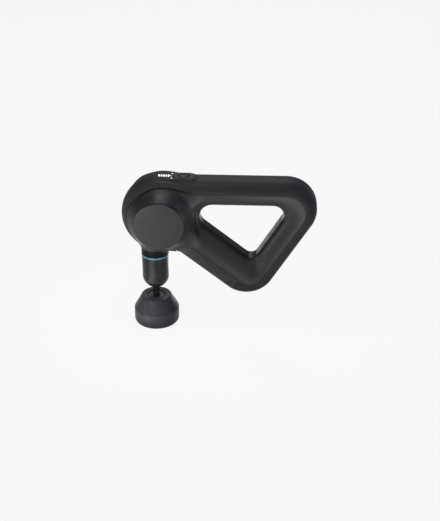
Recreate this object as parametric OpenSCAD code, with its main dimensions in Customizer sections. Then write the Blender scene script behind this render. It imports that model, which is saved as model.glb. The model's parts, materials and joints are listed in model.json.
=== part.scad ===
// Hand-held percussive massage gun with a three-armed loop handle.
// It stands nose down: +Z runs up the stroke axis, +X points from the head to the handle.
// The origin is the centre of the massage head's flat face.

/* [Head] */
// Radius of the round head over the grip band
head_r = 45.3; // [45:0.1:45.8]
// Distance of the motor axis from the stroke axis
head_x = 8.5; // [8.2:0.1:9]
// Height of the motor axis above the massage face
head_z = 143.8; // [143.5:0.1:144.5]
// Radius of the seam between band and case on the head
seam_r = 38; // [37.5:0.5:39]
// Half width of the grip band on the head
seam_y = 20; // [19:0.5:21]
// Radius of the round side caps
cap_r = 28.5; // [28:0.1:29]
// Half width over the side caps
cap_y = 38; // [37.8:0.1:38.6]

/* [Handle] */
// Height of the handle hole's top edge
hole_top = 158.4; // [158:0.1:159]
// Distance of the hole's rear edge from the origin, square to the edge
hole_rear = 51.3; // [51:0.1:51.8]
// Distance of the hole's lower edge from the origin, square to the edge
hole_low = 138.9; // [138.5:0.1:139.2]
// Slope of the rear arm
rear_slope = 58.4; // [58:0.1:59]
// Slope of the lower arm
low_slope = 38.8; // [38.5:0.1:39.2]
// Thickness of the top arm
top_arm = 29.6; // [29:0.1:30.5]
// Thickness of the rear arm
rear_arm = 31.9; // [31.5:0.1:32.4]
// Thickness of the lower arm, which holds two battery cells
low_arm = 44.4; // [44:0.1:45]
// Half width of the arms
arm_y = 18; // [17.8:0.1:18.5]
// Rounding of the arms' edges
edge_r = 12; // [11:0.5:13]
// Wall thickness of the case and the band
wall = 2.6; // [2.4:0.1:2.8]

/* [Nose] */
// Radius of the nose at its top
nose_r = 16; // [15.8:0.1:16.2]
// Radius of the domed nose tip
tip_r = 15.5; // [15.3:0.1:15.6]
// Height of the dome's centre
tip_z = 61.8; // [61.5:0.1:62.2]
// Height of the accent ring's middle
ring_z = 90; // [89:0.5:91]
// Height of the accent ring's band
ring_h = 2.6; // [2:0.1:3]

/* [Drive] */
// Crank throw, half of the stroke
throw = 8; // [7.5:0.1:8]
// Radius of the plunger shaft
shaft_r = 4.05; // [4:0.05:4.1]
// Radius of the crank roller
roller_r = 5; // [4.8:0.1:5.1]
// Radius of the motor shaft and crank pin
axle_r = 2.5; // [2.4:0.1:2.5]
// Outer radius of the motor's rotor
rotor_r = 21; // [20.5:0.1:21.5]
// Radius of the guide tube
guide_r = 12; // [11.8:0.1:12]

/* [Massage head] */
// Radius of the foam cone at its base
foam_r = 26.5; // [26:0.1:27]
// Height of the foam cone's upright side
foam_side = 18; // [17:0.5:19]
// Height of the foam cone's top face
foam_top = 34.8; // [34:0.1:35]
// Radius of the foam cone's top face
foam_top_r = 17.3; // [17:0.1:17.5]
// Radius of the plug in the foam
core_r = 11; // [10.8:0.1:11.2]

/* [Controls] */
// Place of the power button along the top arm
button_x = 35; // [34.5:0.1:35.5]
// Radius of the power button
button_r = 6.2; // [6:0.1:6.3]
// Half length of the speed rocker
rocker_half = 12; // [11.8:0.1:12.2]
// Half width of the speed rocker
rocker_y = 7.5; // [7.3:0.1:7.7]
// Number of level lights
level_count = 5; // [3:1:5]
// Distance between level lights
level_pitch = 2.7; // [2.6:0.1:2.8]

/* [Battery] */
// Radius of a battery cell
cell_r = 9.1; // [9:0.05:9.2]
// Length of a battery cell
cell_l = 65; // [64:0.5:65.5]

/* [Hidden] */
$fn = 48;

// Gaps between pieces: a seam you can see, a seated fit and a running fit
seam_gap = 0.3;
seat_gap = 0.1;
run_gap = 0.05;
press_gap = 0.02;
// Bevel on turned edges, and how far a cut runs past the face that it opens
bevel = 0.8;
over = 1;
// Longer than the whole object, for cuts that go right through
past = 300;

// Sides of the handle, counted round from the rear arm: outward direction, hole edge and arm thickness
side_angle = [rear_slope - 90, 90, 270 - low_slope, rear_slope + 270];
hole_edge = [hole_rear, hole_top, -hole_low];
arm_depth = [rear_arm, top_arm, low_arm];
outer_edge = hole_edge + arm_depth;
// Depth of the seam below each arm's outer edge
seam_depth = [13, 13, 17.2];
seam_edge = outer_edge - seam_depth;
// Ribbed strip: its ends along the lower arm, where its ribs stop short of them, and the ribs' size
strip_span = [-49, 35];
strip_over = 5;
rib_margin = [6, 2];
rib_pitch = 2;
rib_depth = 0.6;
// Corner radii: right, left and lower corner
hole_corner = [12, 15, 8.5];
outer_corner = [35, 32, 34.5];
seam_corner = [22, 22, 16];
all_sides = [1, 1, 1];
// The hole is cleared a little inside the ring's own edge
trim = 0.05;
// The head's seam is turned a little, so that its facets cross those of the head
seam_turn = 1.7;
corner_steps = 8;
edge_steps = 4;
// Facets of the head, and of the posts and holes in moulded pieces
head_fn = 60;
post_fn = 20;

// Head flank, between the band's seam and the cap
flank_r = cap_r + 0.4;
flank_y = cap_y - 2.6;
flank_lean = atan2(seam_r - flank_r, flank_y - seam_y);
cap_seat_r = 24;
cap_spigot = [2, 3];
cap_lift = 0.2;
cap_edge = 0.4;
// Crown of the band over the head
crown_rise = head_r - seam_r;
crown_r = (seam_y * seam_y + crown_rise * crown_rise) / (2 * crown_rise);
crown_half = asin(seam_y / crown_r);

// Nose, from the collar down to the tip
nose_seat_r = nose_r - 2;
nose_seat_x = [-nose_r - 1.5, nose_r + 10.5];
nose_seat_z = [head_z - head_r - 5, head_z - 5];
nose_hole_top = head_z - 28;
collar_top = 120;
collar_bottom = ring_z + ring_h / 2 + seat_gap;
sleeve_top = ring_z - ring_h / 2 - seat_gap;
block_bottom = 112.5;
block_top = 118;
guide_bottom = 57;
guide_wall = 3;
seal_r = 6.5;
seal_bottom = 47.4;
seal_top = guide_bottom - 0.5;
seal_edge = 1.4;
bush_l = 12;

// Drive, along the motor axis from the yoke to the motor's back
yoke_y = 4;
slot_half = throw + roller_r + 1;
slot_rise = roller_r + 1.9;
yoke_rim = 4;
yoke_bottom = head_z - slot_rise - yoke_rim;
boss_r = 6.8;
boss_bottom = 127;
cross_z = 131;
cross_r = 1.5;
disc_y = [7.2, 11.2];
disc_hub_r = 8;
disc_arm_r = 5.5;
weight_r = 20;
weight_x = 2;
weight_clear = 0.8;
clip_r = 4;
clip_t = 0.8;
clip_opening = 3;
plate_y = [12, 15];
plate_r = 36;
clamp_wall = 2.6;
clamp_half = 9;
clamp_h = head_z - weight_r - weight_clear - block_bottom;
clamp_room = [0.5, 8];
flange_y = 17;
tube_y = 30.4;
tube_r = 7;
base_r = 16;
bearing_r = 5.5;
bearing_w = 4;
bearing_inset = 0.2;
stator_y = [18.5, 28.5];
stator_r = 17;
stator_ring = 3;
tooth_tip = 1.5;
coil_w = 3.2;
coil_past = 0.6;
magnet_r = 17.4;
magnet_gap = 0.8;
magnet_past = 0.5;
rotor_y = [17.6, 33.5];
rotor_wall = 1.8;
rotor_back = 2;
vent_r = 4;
vent_ring_r = 12;
slot_count = 12;
magnet_count = 14;
motor_bolt_r = 12;
motor_bolt_angles = [45:90:315];
post_ring_r = 31;
post_angles = [60, 120, 200, 340];
post_r = 3.2;
post_hole_y = 25;
post_screw_y = 24;
screw_r = 1.45;
screw_head_r = 2.7;
pan_head_h = 1.8;
sink_h = 1.5;
hex_r = 1.4;
hex_depth = 1.4;
board_y = 16.7;
board_t = 1.6;
driver_r = 34.5;
chip = [7, 2.4, 10];
chip_place = [-14, 4];
chip_pitch = 10;
capacitor = [5, 9];
capacitor_place = [4, -14];

// Massage head: foam edges, plug, and the shaft's end in it
foam_edge_r = 6;
foam_bevel = 0.4;
core_bottom = 12;
core_rim = [1.3, 1.6];
core_drop = 0.5;
core_dish = 2.5;
collar_w = [2.2, 2.6];
collar_drop = 1.2;
socket_gap = 0.07;
socket_bottom = 17;
shaft_bottom = 18;

// Control pod, from its top down to the control board
pod_top = 189.6;
pod_x = [4, 50];
pod_y = 10;
pod_depth = 14;
pocket_floor = pod_top - 2.7;
pocket_gap = 0.4;
key_lift = 0.9;
pivot_z = pod_top - 0.7;
pivot_r = 0.95;
pivot_past = 0.9;
pivot_hole_y = rocker_y + pivot_past + seam_gap;
button_rise = 0.3;
button_lift = 1;
button_gap = 0.5;
dish_r = 28;
dish_depth = 0.6;
rocker_rise = 0.4;
stem_bottom = 182.6;
stem_x = 9.5;
stem_r = 1.6;
button_stem_r = 2.4;
board_top = 178.3;
board_x = [2, 56];
board_half = 10.8;
switch_top = 181.5;
switch_w = 6;
switch_h = 2.4;
light_h = 2.4;
level_x = 12.5;
level_bar = [1.7, 5];
mode_r = 0.8;
mode_x = 20.3;
mode_y = 5.8;
mode_bow = 1.3;

// Battery: cell places along and across the lower arm, and in the rear arm
low_mid = hole_low - low_arm / 2;
low_cell_start = -38;
cell_gap = 0.5;
terminal = [4, 1];
holder_y = 10.2;
holder_z = 2 * cell_r - 0.8;
holder_x = low_cell_start + 6;
holder_l = cell_l - 12;
holder_t = 4;
spine_y = [7, 10];
rear_cell_mid = hole_rear + rear_arm / 2;
rear_cell_start = 137;

// Charge socket at the lower corner, and the case screws
socket_x = 104.6;
socket_z = 47.2;
socket_r = 5.5;
socket_l = 14;
socket_flange = [1.5, 3, 5];
plug_r = 2.85;
plug_depth = 9.5;
plug_pin_r = 1;
plug_pin_drop = 1.5;
case_screw_places = [[165, 163], [112, 67], [68, 168.5]];
case_post_r = 4.2;
case_head_y = [11.5, 14];
case_head_gap = 0.4;
case_hole_y = 13;
case_tip_y = 12;

// Wiring routes, chosen clear of everything else
battery_route = [[44, 0, 119], [41, -2, 122], [37, -6, 126], [33, -10, 130], [29, -13.4, 134]];
motor_route = [
    [25.5, 16.3, 144.5], [29, 16.3, 144.7], [32.5, 15.5, 145], [35.5, 13, 145.3], [37, 9, 145.5],
    [37, 2, 145.3], [36, -5, 144.5], [33.5, -11, 143.5], [31, -13.8, 142.5]
];
lead_hole = [33.6, 145.2];
lead_hole_r = 4;
lead_sides = 8;
battery_lead_r = 1.5;
motor_lead_r = 1;

// Directions and outlines in the XZ plane

function heading(a) = [cos(a), sin(a)];

// Centre of an arc of radius r that touches two edges, each given by its direction and distance
function corner_centre(a, da, b, db, r) = [
    ((da - r) * sin(b) - (db - r) * sin(a)) / sin(b - a),
    ((db - r) * cos(a) - (da - r) * cos(b)) / sin(b - a)
];

// Rounded triangle around three edges
function loop(edges, radii) = [
    for (i = [0:2])
        let (c = corner_centre(side_angle[i], edges[i], side_angle[i + 1], edges[(i + 1) % 3], radii[i]))
            for (k = [0:corner_steps])
                c + radii[i] * heading(side_angle[i] + (side_angle[i + 1] - side_angle[i]) * k / corner_steps)
];

// Rounded rectangle across an arm: half depth a, half width h and corner radius r
function arm_section(a, h, r) = [
    for (q = [0:3], s = [0:edge_steps])
        let (t = 90 * (q + s / edge_steps), sp = q == 0 || q == 3 ? 1 : -1, sy = q < 2 ? 1 : -1)
            [sp * (a - r) + r * cos(t), sy * (h - r) + r * sin(t)]
];

// Points of a closed ring of arm sections between the hole and the outer edge
function ring_points(inset) =
    let (outer = loop(outer_edge, outer_corner), hole = loop(hole_edge, hole_corner))
        [for (j = [0:len(outer) - 1])
            let (
                mid = (outer[j] + hole[j]) / 2,
                depth = norm(outer[j] - hole[j]),
                across = (outer[j] - hole[j]) / depth
            )
                for (p = arm_section(depth / 2 - inset, arm_y - inset, max(edge_r - inset, 1)))
                    [mid.x + across.x * p.x, -p.y, mid.y + across.y * p.x]];

// Triangles between rings of m points each, n rings, closed round or open with end caps
function skin(n, m, closed) = [
    for (j = [0:closed ? n - 1 : n - 2], k = [0:m - 1])
        let (
            here = j * m,
            next = ((j + 1) % n) * m,
            a = here + k,
            b = here + (k + 1) % m,
            c = next + k,
            d = next + (k + 1) % m
        )
            each [[a, b, d], [a, d, c]]
];

// Half profile of the head about the motor axis
function head_profile(inset) = let (
    rim = flank_r - inset * tan(45 - flank_lean / 2),
    side = flank_y - inset
) concat(
    [[0, -side], [rim, -side]],
    [for (t = [-1:0.5:1]) [head_r - crown_r, 0] + (crown_r - inset) * heading(t * crown_half)],
    [[rim, side], [0, side]]
);

// Building aids

// Moulded pieces are worked as one smooth mesh
module moulded() resize([0, 0, 0]) children();

// Flat outline in XZ, given a width along Y that starts at y0
module along_y(y0, y1) translate([0, y1, 0]) rotate([90, 0, 0]) linear_extrude(y1 - y0) children();

// Round bar along Y through a point in XZ
module bar_y(x, z, r, y0, y1) translate([x, y1, z]) rotate([90, 0, 0]) cylinder(r = r, h = y1 - y0);

// Round bar along Z on the stroke axis
module bar_z(r, z0, z1) translate([0, 0, z0]) cylinder(r = r, h = z1 - z0);

// Tube along Z on the stroke axis
module tube_z(r, bore, z0, z1) difference() {
    bar_z(r, z0, z1);
    bar_z(bore, z0 - over, z1 + over);
}

// Pill outline from x0 to x1 with half width w
module pill(x0, x1, w) {
    translate([x0 + w, 0]) circle(w);
    translate([x1 - w, 0]) circle(w);
    translate([x0 + w, -w]) square([x1 - x0 - 2 * w, 2 * w]);
}

// Copies on the ring of posts round the motor axis
module at_posts() for (a = post_angles)
    translate([head_x + post_ring_r * cos(a), 0, head_z + post_ring_r * sin(a)]) children();

module at_case_screws() for (p = case_screw_places) translate([p.x, 0, p.y]) children();

module at_motor() translate([head_x, 0, head_z]) children();

// Copies on the circle of motor screws
module at_motor_bolts() at_motor() for (a = motor_bolt_angles)
    translate([motor_bolt_r * cos(a), 0, motor_bolt_r * sin(a)]) children();

// Lower arm's own frame: X along the arm, Z square to it
module in_low_arm() rotate([0, low_slope, 0]) children();

// Rear arm's own frame: X along the arm, Z square to it, outwards
module in_rear_arm() rotate([0, -rear_slope, 0]) mirror([0, 0, 1]) children();

// Countersunk screw along Y, its head's face at y0
module flat_screw(y0, y1) {
    translate([0, y0, 0]) rotate([-90, 0, 0]) cylinder(r1 = screw_head_r, r2 = screw_r, h = sink_h);
    bar_y(0, 0, screw_r, y0 + sink_h - seat_gap, y1);
}

// Pan screw along Y, with a hexagon socket in its head
module pan_screw(y0, y1, head_h) difference() {
    union() {
        bar_y(0, 0, screw_head_r, y0, y0 + head_h);
        bar_y(0, 0, screw_r, y0 + head_h - seat_gap, y1);
    }
    translate([0, y0 + hex_depth, 0]) rotate([90, 0, 0]) cylinder(r = hex_r, h = hex_depth + over, $fn = 6);
}

// Bodies of the case and the band

module ring_form(inset) polyhedron(
    points = ring_points(inset),
    faces = skin(3 * (corner_steps + 1), 4 * (edge_steps + 1), true)
);

module head_form(inset) translate([head_x, 0, head_z]) rotate([90, 0, 0])
    rotate_extrude($fn = head_fn) polygon(head_profile(inset));

module pod_form() translate([0, 0, pod_top - pod_depth])
    linear_extrude(pod_depth) pill(pod_x[0], pod_x[1], pod_y);

// Outer form, or the hollow inside it
module body_form(inset) difference() {
    union() {
        ring_form(inset);
        head_form(inset);
        if (inset == 0) pod_form();
    }
    clearing = all_sides * (inset - trim);
    along_y(-past, past) polygon(loop(hole_edge + clearing, hole_corner + clearing));
}

// Region inside the seam, which belongs to the case
module seam_core(grow) along_y(-past, past) offset(delta = grow) {
    polygon(loop(seam_edge, seam_corner));
    translate([head_x, head_z]) rotate(seam_turn) circle(seam_r, $fn = head_fn);
    translate([nose_seat_x[0], nose_seat_z[0]])
        square([nose_seat_x[1] - nose_seat_x[0], nose_seat_z[1] - nose_seat_z[0]]);
}

// Region of the ribbed strip under the lower arm
module strip_zone(grow) in_low_arm()
    translate([strip_span[0] - grow, -past, hole_low - low_arm - strip_over])
        cube([strip_span[1] - strip_span[0] + 2 * grow, 2 * past, seam_depth[2] + 2 * strip_over]);

module shell() difference() {
    body_form(0);
    body_form(wall);
}

// Where the inner posts of a case half start along Y
function post_from(side) = side > 0 ? plate_y[1] + seat_gap : -board_y - seat_gap - past;

// One half of the case; side is -1 for the front and 1 for the rear
module case_half(side) moulded() difference() {
    union() {
        intersection() {
            shell();
            seam_core(-seam_gap / 2);
        }
        intersection() {
            union() {
                at_case_screws() bar_y(0, 0, case_post_r, -past, past, $fn = post_fn);
                at_posts() bar_y(0, 0, post_r, post_from(side), post_from(side) + past, $fn = post_fn);
            }
            body_form(wall / 2);
        }
    }
    translate([-past, side > 0 ? -past + run_gap : -run_gap, -past]) cube([2 * past, past, 2 * past]);
    bar_y(head_x, head_z, cap_seat_r, -past, past);
    bar_z(nose_seat_r + seam_gap, 0, nose_hole_top);
    at_posts() bar_y(0, 0, screw_r + seat_gap, -post_hole_y, post_hole_y, $fn = post_fn);
    at_case_screws() {
        bar_y(0, 0, screw_r + seat_gap, -case_hole_y, past, $fn = post_fn);
        bar_y(0, 0, screw_head_r + case_head_gap, case_head_y[0] - seat_gap, past, $fn = post_fn);
    }
}

module case_front() color([0.27, 0.28, 0.30]) case_half(-1);

module case_rear() color([0.27, 0.28, 0.30]) case_half(1);

module grip_band() color([0.22, 0.22, 0.24]) moulded() difference() {
    shell();
    seam_core(seam_gap / 2);
    strip_zone(seam_gap / 2);
    translate([0, 0, pocket_floor]) linear_extrude(past)
        pill(button_x - rocker_half - pocket_gap, button_x + rocker_half + pocket_gap, rocker_y + pocket_gap);
    bar_y(button_x, pivot_z, pivot_r + seat_gap, -pivot_hole_y, pivot_hole_y);
    translate([button_x, 0, 0]) bar_z(button_stem_r + 2 * seam_gap, board_top, pod_top + over);
    for (s = [-1, 1]) translate([button_x + s * stem_x, 0, 0])
        bar_z(stem_r + key_lift, board_top, pod_top + over);
    level_bars(seat_gap);
    mode_dots(seat_gap);
    translate([socket_x, 0, 0]) bar_z(socket_r + 2 * seat_gap, 0, socket_z + socket_l);
}

// Strip with cross grooves, which leave ribs about as wide as the grooves
module grip_strip() color([0.24, 0.24, 0.26]) moulded() difference() {
    intersection() {
        shell();
        strip_zone(-seam_gap / 2);
    }
    seam_core(seam_gap / 2);
    in_low_arm() for (x = [strip_span[0] + rib_margin[0]:rib_pitch:strip_span[1] - rib_margin[1]])
        translate([x, -past, hole_low - low_arm - over]) cube([rib_pitch / 2, 2 * past, rib_depth + over]);
}

// Round side caps, seated in the case by a spigot

module side_cap() {
    back = flank_y + cap_lift;
    spigot_r = cap_seat_r - 2 * seat_gap;
    spigot_bore = cap_seat_r - cap_spigot[0];
    spigot_end = flank_y - cap_spigot[1];
    rotate_extrude() polygon([
        [0, back], [spigot_bore, back], [spigot_bore, spigot_end], [spigot_r, spigot_end],
        [spigot_r, back], [cap_r - cap_edge, back], [cap_r, back + cap_edge],
        [cap_r, cap_y - bevel], [cap_r - bevel, cap_y], [0, cap_y]
    ]);
}

module front_cap() color([0.36, 0.36, 0.38]) translate([head_x, 0, head_z]) rotate([90, 0, 0]) side_cap();

module rear_cap() color([0.36, 0.36, 0.38]) translate([head_x, 0, head_z]) rotate([-90, 0, 0]) side_cap();

// Nose

module nose_collar() color([0.2, 0.2, 0.21]) moulded() difference() {
    union() {
        difference() {
            bar_z(nose_r, collar_bottom, collar_top);
            head_form(-seam_gap);
        }
        bar_z(nose_seat_r, collar_bottom, block_bottom - seat_gap);
    }
    bar_z(guide_r + seat_gap, 0, past);
}

module accent_ring() color([0.35, 0.65, 0.78])
    tube_z(nose_r + 0.05, guide_r + seat_gap, ring_z - ring_h / 2, ring_z + ring_h / 2);

module nose_sleeve() color([0.17, 0.17, 0.18]) difference() {
    rotate_extrude() union() {
        polygon([[0, tip_z], [tip_r, tip_z], [nose_r - 0.1, sleeve_top], [0, sleeve_top]]);
        intersection() {
            translate([0, tip_z]) circle(tip_r);
            square([tip_r, tip_z]);
        }
    }
    bar_z(guide_r + seat_gap, guide_bottom - 2 * seat_gap, ring_z);
    bar_z(seal_r + seat_gap, 0, tip_z);
}

module tip_seal() {
    lip_r = shaft_r + run_gap;
    color([0.1, 0.1, 0.1]) rotate_extrude() polygon([
        [lip_r, seal_bottom + bevel], [lip_r + bevel, seal_bottom], [seal_r - seal_edge, seal_bottom],
        [seal_r, seal_bottom + seal_edge], [seal_r, seal_top], [lip_r, seal_top]
    ]);
}

module guide_tube() color([0.72, 0.73, 0.75]) tube_z(guide_r, guide_r - guide_wall, guide_bottom, block_top);

module upper_bush() color([0.72, 0.55, 0.3])
    tube_z(guide_r - guide_wall - seat_gap, shaft_r + run_gap, block_top - bush_l, block_top);

module lower_bush() color([0.72, 0.55, 0.3])
    tube_z(guide_r - guide_wall - seat_gap, shaft_r + run_gap, guide_bottom, guide_bottom + bush_l);

// Frame that carries the motor and clamps the guide tube

module drive_frame() color([0.6, 0.61, 0.63]) difference() {
    union() {
        along_y(plate_y[0], plate_y[1]) difference() {
            translate([head_x, head_z]) circle(plate_r);
            translate([-past / 2, block_bottom - past]) square(past);
        }
        bar_z(guide_r + clamp_wall, block_bottom, block_top);
        translate([-clamp_half, clamp_half, block_bottom])
            cube([2 * clamp_half, plate_y[0] - clamp_half + over, clamp_h]);
    }
    bar_z(guide_r + seat_gap, 0, block_top + over);
    translate([-clamp_half, -clamp_half, block_top])
        cube([2 * clamp_half, 2 * clamp_half + clamp_room[0], clamp_room[1]]);
    bar_y(head_x, head_z, tube_r + run_gap, 0, past);
    at_motor_bolts() {
        bar_y(0, 0, screw_r + run_gap, 0, past);
        translate([0, plate_y[0] - press_gap, 0]) rotate([-90, 0, 0])
            cylinder(r1 = screw_head_r + 2 * seat_gap, r2 = screw_r + seat_gap, h = sink_h + seam_gap);
    }
    at_posts() bar_y(0, 0, screw_r + run_gap, 0, past);
    bar_y(lead_hole.x, lead_hole.y, lead_hole_r, 0, past);
}

module frame_screws() color([0.3, 0.3, 0.32]) at_posts()
    pan_screw(plate_y[0] - pan_head_h - seat_gap, post_screw_y, pan_head_h);

// Motor: an outside rotor that turns on two bearings

module motor_base() color([0.75, 0.76, 0.78]) difference() {
    at_motor() {
        bar_y(0, 0, base_r, plate_y[1] + run_gap, flange_y);
        bar_y(0, 0, tube_r, plate_y[0], tube_y);
    }
    at_motor() bar_y(0, 0, bearing_r + press_gap, 0, past);
    at_motor_bolts() bar_y(0, 0, screw_r + run_gap, 0, past);
}

module motor_screws() color([0.3, 0.3, 0.32])
    at_motor_bolts() flat_screw(plate_y[0] + seat_gap, flange_y);

module motor_bearings() color([0.8, 0.8, 0.82]) at_motor()
    for (y = [plate_y[0] + bearing_inset, tube_y - bearing_w - bearing_inset]) difference() {
        bar_y(0, 0, bearing_r, y, y + bearing_w);
        bar_y(0, 0, axle_r + run_gap, y - over, y + bearing_w + over);
    }

// One sector of the stator's winding space
module coil_zone(shrink) for (i = [0:slot_count - 1]) rotate((i + 0.5) * 360 / slot_count)
    translate([tube_r + stator_ring + shrink, shrink - coil_w / 2])
        square([stator_r - tube_r - stator_ring - tooth_tip - 2 * shrink, coil_w - 2 * shrink]);

module motor_stator() color([0.5, 0.5, 0.52]) at_motor() along_y(stator_y[0], stator_y[1]) difference() {
    circle(stator_r);
    circle(tube_r + run_gap);
    coil_zone(0);
}

module stator_coils() color([0.72, 0.4, 0.2]) at_motor()
    along_y(stator_y[0] - coil_past, stator_y[1] + coil_past) coil_zone(seat_gap);

module motor_rotor() color([0.35, 0.36, 0.38]) at_motor() difference() {
    bar_y(0, 0, rotor_r, rotor_y[0], rotor_y[1]);
    bar_y(0, 0, rotor_r - rotor_wall, 0, rotor_y[1] - rotor_back);
    bar_y(0, 0, axle_r + press_gap, 0, past);
    for (a = [0:60:300]) bar_y(vent_ring_r * cos(a), vent_ring_r * sin(a), vent_r, stator_y[1], past);
}

module rotor_magnets() color([0.62, 0.63, 0.66]) at_motor()
    along_y(stator_y[0] - magnet_past, stator_y[1] + magnet_past) difference() {
        circle(rotor_r - rotor_wall - run_gap);
        circle(magnet_r);
        for (i = [0:magnet_count - 1]) rotate(i * 360 / magnet_count)
            translate([0, -magnet_gap / 2]) square([2 * rotor_r, magnet_gap]);
    }

module motor_shaft() color([0.8, 0.81, 0.83])
    bar_y(head_x, head_z, axle_r, disc_y[0], rotor_y[1] + bevel);

// Crank on the motor shaft; its pin stands on the stroke axis side at mid stroke

module crank_disc() color([0.55, 0.55, 0.57]) difference() {
    along_y(disc_y[0], disc_y[1]) translate([head_x, head_z]) {
        circle(disc_hub_r);
        translate([-throw, 0]) circle(disc_arm_r);
        translate([-throw, -disc_arm_r]) square([throw, 2 * disc_arm_r]);
        difference() {
            circle(weight_r);
            translate([weight_x - past, -past / 2]) square(past);
        }
    }
    bar_y(head_x, head_z, axle_r + press_gap, 0, past);
    bar_y(head_x - throw, head_z, axle_r + press_gap, 0, past);
}

module crank_pin() color([0.8, 0.81, 0.83])
    bar_y(head_x - throw, head_z, axle_r, -yoke_y - clip_t - 4 * seat_gap, disc_y[1]);

module crank_roller() color([0.85, 0.85, 0.87]) difference() {
    bar_y(head_x - throw, head_z, roller_r, -yoke_y, yoke_y);
    bar_y(head_x - throw, head_z, axle_r + run_gap, -past, past);
}

// The clip is open on its lower side, where it is pushed on
module crank_clip() color([0.3, 0.3, 0.32]) translate([head_x - throw, 0, head_z]) difference() {
    bar_y(0, 0, clip_r, -yoke_y - clip_t - 2 * seat_gap, -yoke_y - 2 * seat_gap);
    bar_y(0, 0, axle_r + press_gap, -past, past);
    translate([-clip_opening / 2, -past / 2, -past]) cube([clip_opening, past, past]);
}

// Slotted yoke that turns the crank's motion into the stroke

module drive_yoke() color([0.62, 0.63, 0.65]) difference() {
    union() {
        along_y(-yoke_y, yoke_y) translate([head_x - slot_half - yoke_rim, yoke_bottom])
            square([2 * (slot_half + yoke_rim), 2 * (slot_rise + yoke_rim)]);
        bar_z(boss_r, boss_bottom, yoke_bottom + over);
    }
    along_y(-past, past) translate([0, head_z]) pill(head_x - slot_half, head_x + slot_half, slot_rise);
    bar_z(shaft_r + run_gap, 0, yoke_bottom + seat_gap);
    bar_y(0, cross_z, cross_r, -past, past);
}

module yoke_pin() color([0.8, 0.81, 0.83])
    bar_y(0, cross_z, cross_r - 2 * press_gap, -boss_r + seam_gap, boss_r - seam_gap);

module plunger_shaft() color([0.78, 0.79, 0.81]) difference() {
    rotate_extrude() polygon([
        [0, shaft_bottom], [shaft_r - bevel, shaft_bottom], [shaft_r, shaft_bottom + bevel],
        [shaft_r, yoke_bottom], [0, yoke_bottom]
    ]);
    bar_y(0, cross_z, cross_r, -past, past);
}

// Massage head: a foam cone on a plug that pushes onto the shaft

module head_foam() color([0.3, 0.31, 0.33]) rotate_extrude() difference() {
    union() {
        polygon([
            [0, 0], [foam_r - foam_edge_r, 0], [foam_r - foam_edge_r, foam_edge_r], [foam_r, foam_edge_r],
            [foam_r, foam_side], [foam_top_r + foam_bevel, foam_top - 2 * foam_bevel],
            [foam_top_r - foam_bevel, foam_top], [0, foam_top]
        ]);
        translate([foam_r - foam_edge_r, 0]) intersection() {
            translate([0, foam_edge_r]) circle(foam_edge_r);
            square(foam_edge_r);
        }
    }
    translate([0, core_bottom - seat_gap]) square([core_r + seat_gap, foam_top]);
}

module head_core() {
    rim_top = foam_top - core_drop;
    floor = foam_top - core_dish;
    collar = foam_top - collar_drop;
    bore = shaft_r + socket_gap;
    color([0.15, 0.15, 0.16]) rotate_extrude() polygon([
        [0, core_bottom], [core_r, core_bottom], [core_r, rim_top], [core_r - core_rim[0], rim_top],
        [core_r - core_rim[1], floor], [shaft_r + collar_w[1], floor], [shaft_r + collar_w[0], collar],
        [bore, collar], [bore, socket_bottom], [0, socket_bottom]
    ]);
}

// Controls on the pod

module power_button() color([0.17, 0.17, 0.18]) translate([button_x, 0, 0]) difference() {
    union() {
        bar_z(button_r, pocket_floor + button_lift, pod_top + button_rise);
        bar_z(button_stem_r, stem_bottom, pocket_floor + button_lift + seat_gap);
    }
    translate([0, 0, pod_top + button_rise + dish_r - dish_depth]) sphere(dish_r);
}

module speed_rocker() color([0.2, 0.2, 0.21]) difference() {
    union() {
        translate([0, 0, pocket_floor + key_lift])
            linear_extrude(pod_top + rocker_rise - pocket_floor - key_lift)
                pill(button_x - rocker_half, button_x + rocker_half, rocker_y);
        for (s = [-1, 1]) translate([button_x + s * stem_x, 0, 0])
            bar_z(stem_r, stem_bottom, pocket_floor + key_lift + seat_gap);
        bar_y(button_x, pivot_z, pivot_r, -rocker_y - pivot_past, rocker_y + pivot_past);
    }
    translate([button_x, 0, 0]) bar_z(button_r + button_gap, 0, past);
}

module level_bars(grow) for (i = [0:level_count - 1])
    translate([level_x + (i - (level_count - 1) / 2) * level_pitch, 0, pod_top - light_h])
        linear_extrude(light_h + grow) square(level_bar + 2 * [grow, grow], center = true);

module level_lights() color([0.95, 0.95, 0.95]) level_bars(0);

module mode_dots(grow) for (i = [-1:1]) translate([mode_x + mode_bow * abs(i), mode_y * i, pod_top - light_h])
    cylinder(r = mode_r + grow, h = light_h + grow);

module mode_lights() color([0.95, 0.95, 0.95]) mode_dots(0);

module control_board() color([0.1, 0.3, 0.18])
    translate([board_x[0], -board_half, board_top - board_t])
        cube([board_x[1] - board_x[0], 2 * board_half, board_t]);

module control_switches() color([0.15, 0.15, 0.16]) for (i = [-1:1])
    translate([button_x + i * stem_x, 0, board_top]) {
        translate([-switch_w / 2, -switch_w / 2, 0]) cube([switch_w, switch_w, switch_h]);
        cylinder(r = stem_r, h = switch_top - board_top);
    }

// Motor driver behind the front cap

module driver_board() color([0.1, 0.3, 0.18]) difference() {
    union() {
        at_motor() bar_y(0, 0, driver_r, -board_y, -board_y + board_t);
        for (i = [0:2]) at_motor()
            translate([chip_place.x + chip_pitch * i, seat_gap - board_y - chip.y, chip_place.y]) cube(chip);
        at_motor() translate([capacitor_place.x, 0, capacitor_place.y])
            bar_y(0, 0, capacitor[0], -board_y - capacitor[1], seat_gap - board_y);
    }
    at_posts() bar_y(0, 0, screw_r + run_gap, -past, 0);
}

module driver_screws() color([0.3, 0.3, 0.32]) at_posts() mirror([0, 1, 0])
    pan_screw(board_y - board_t - pan_head_h - seat_gap, post_screw_y, pan_head_h);

// Battery

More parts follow.
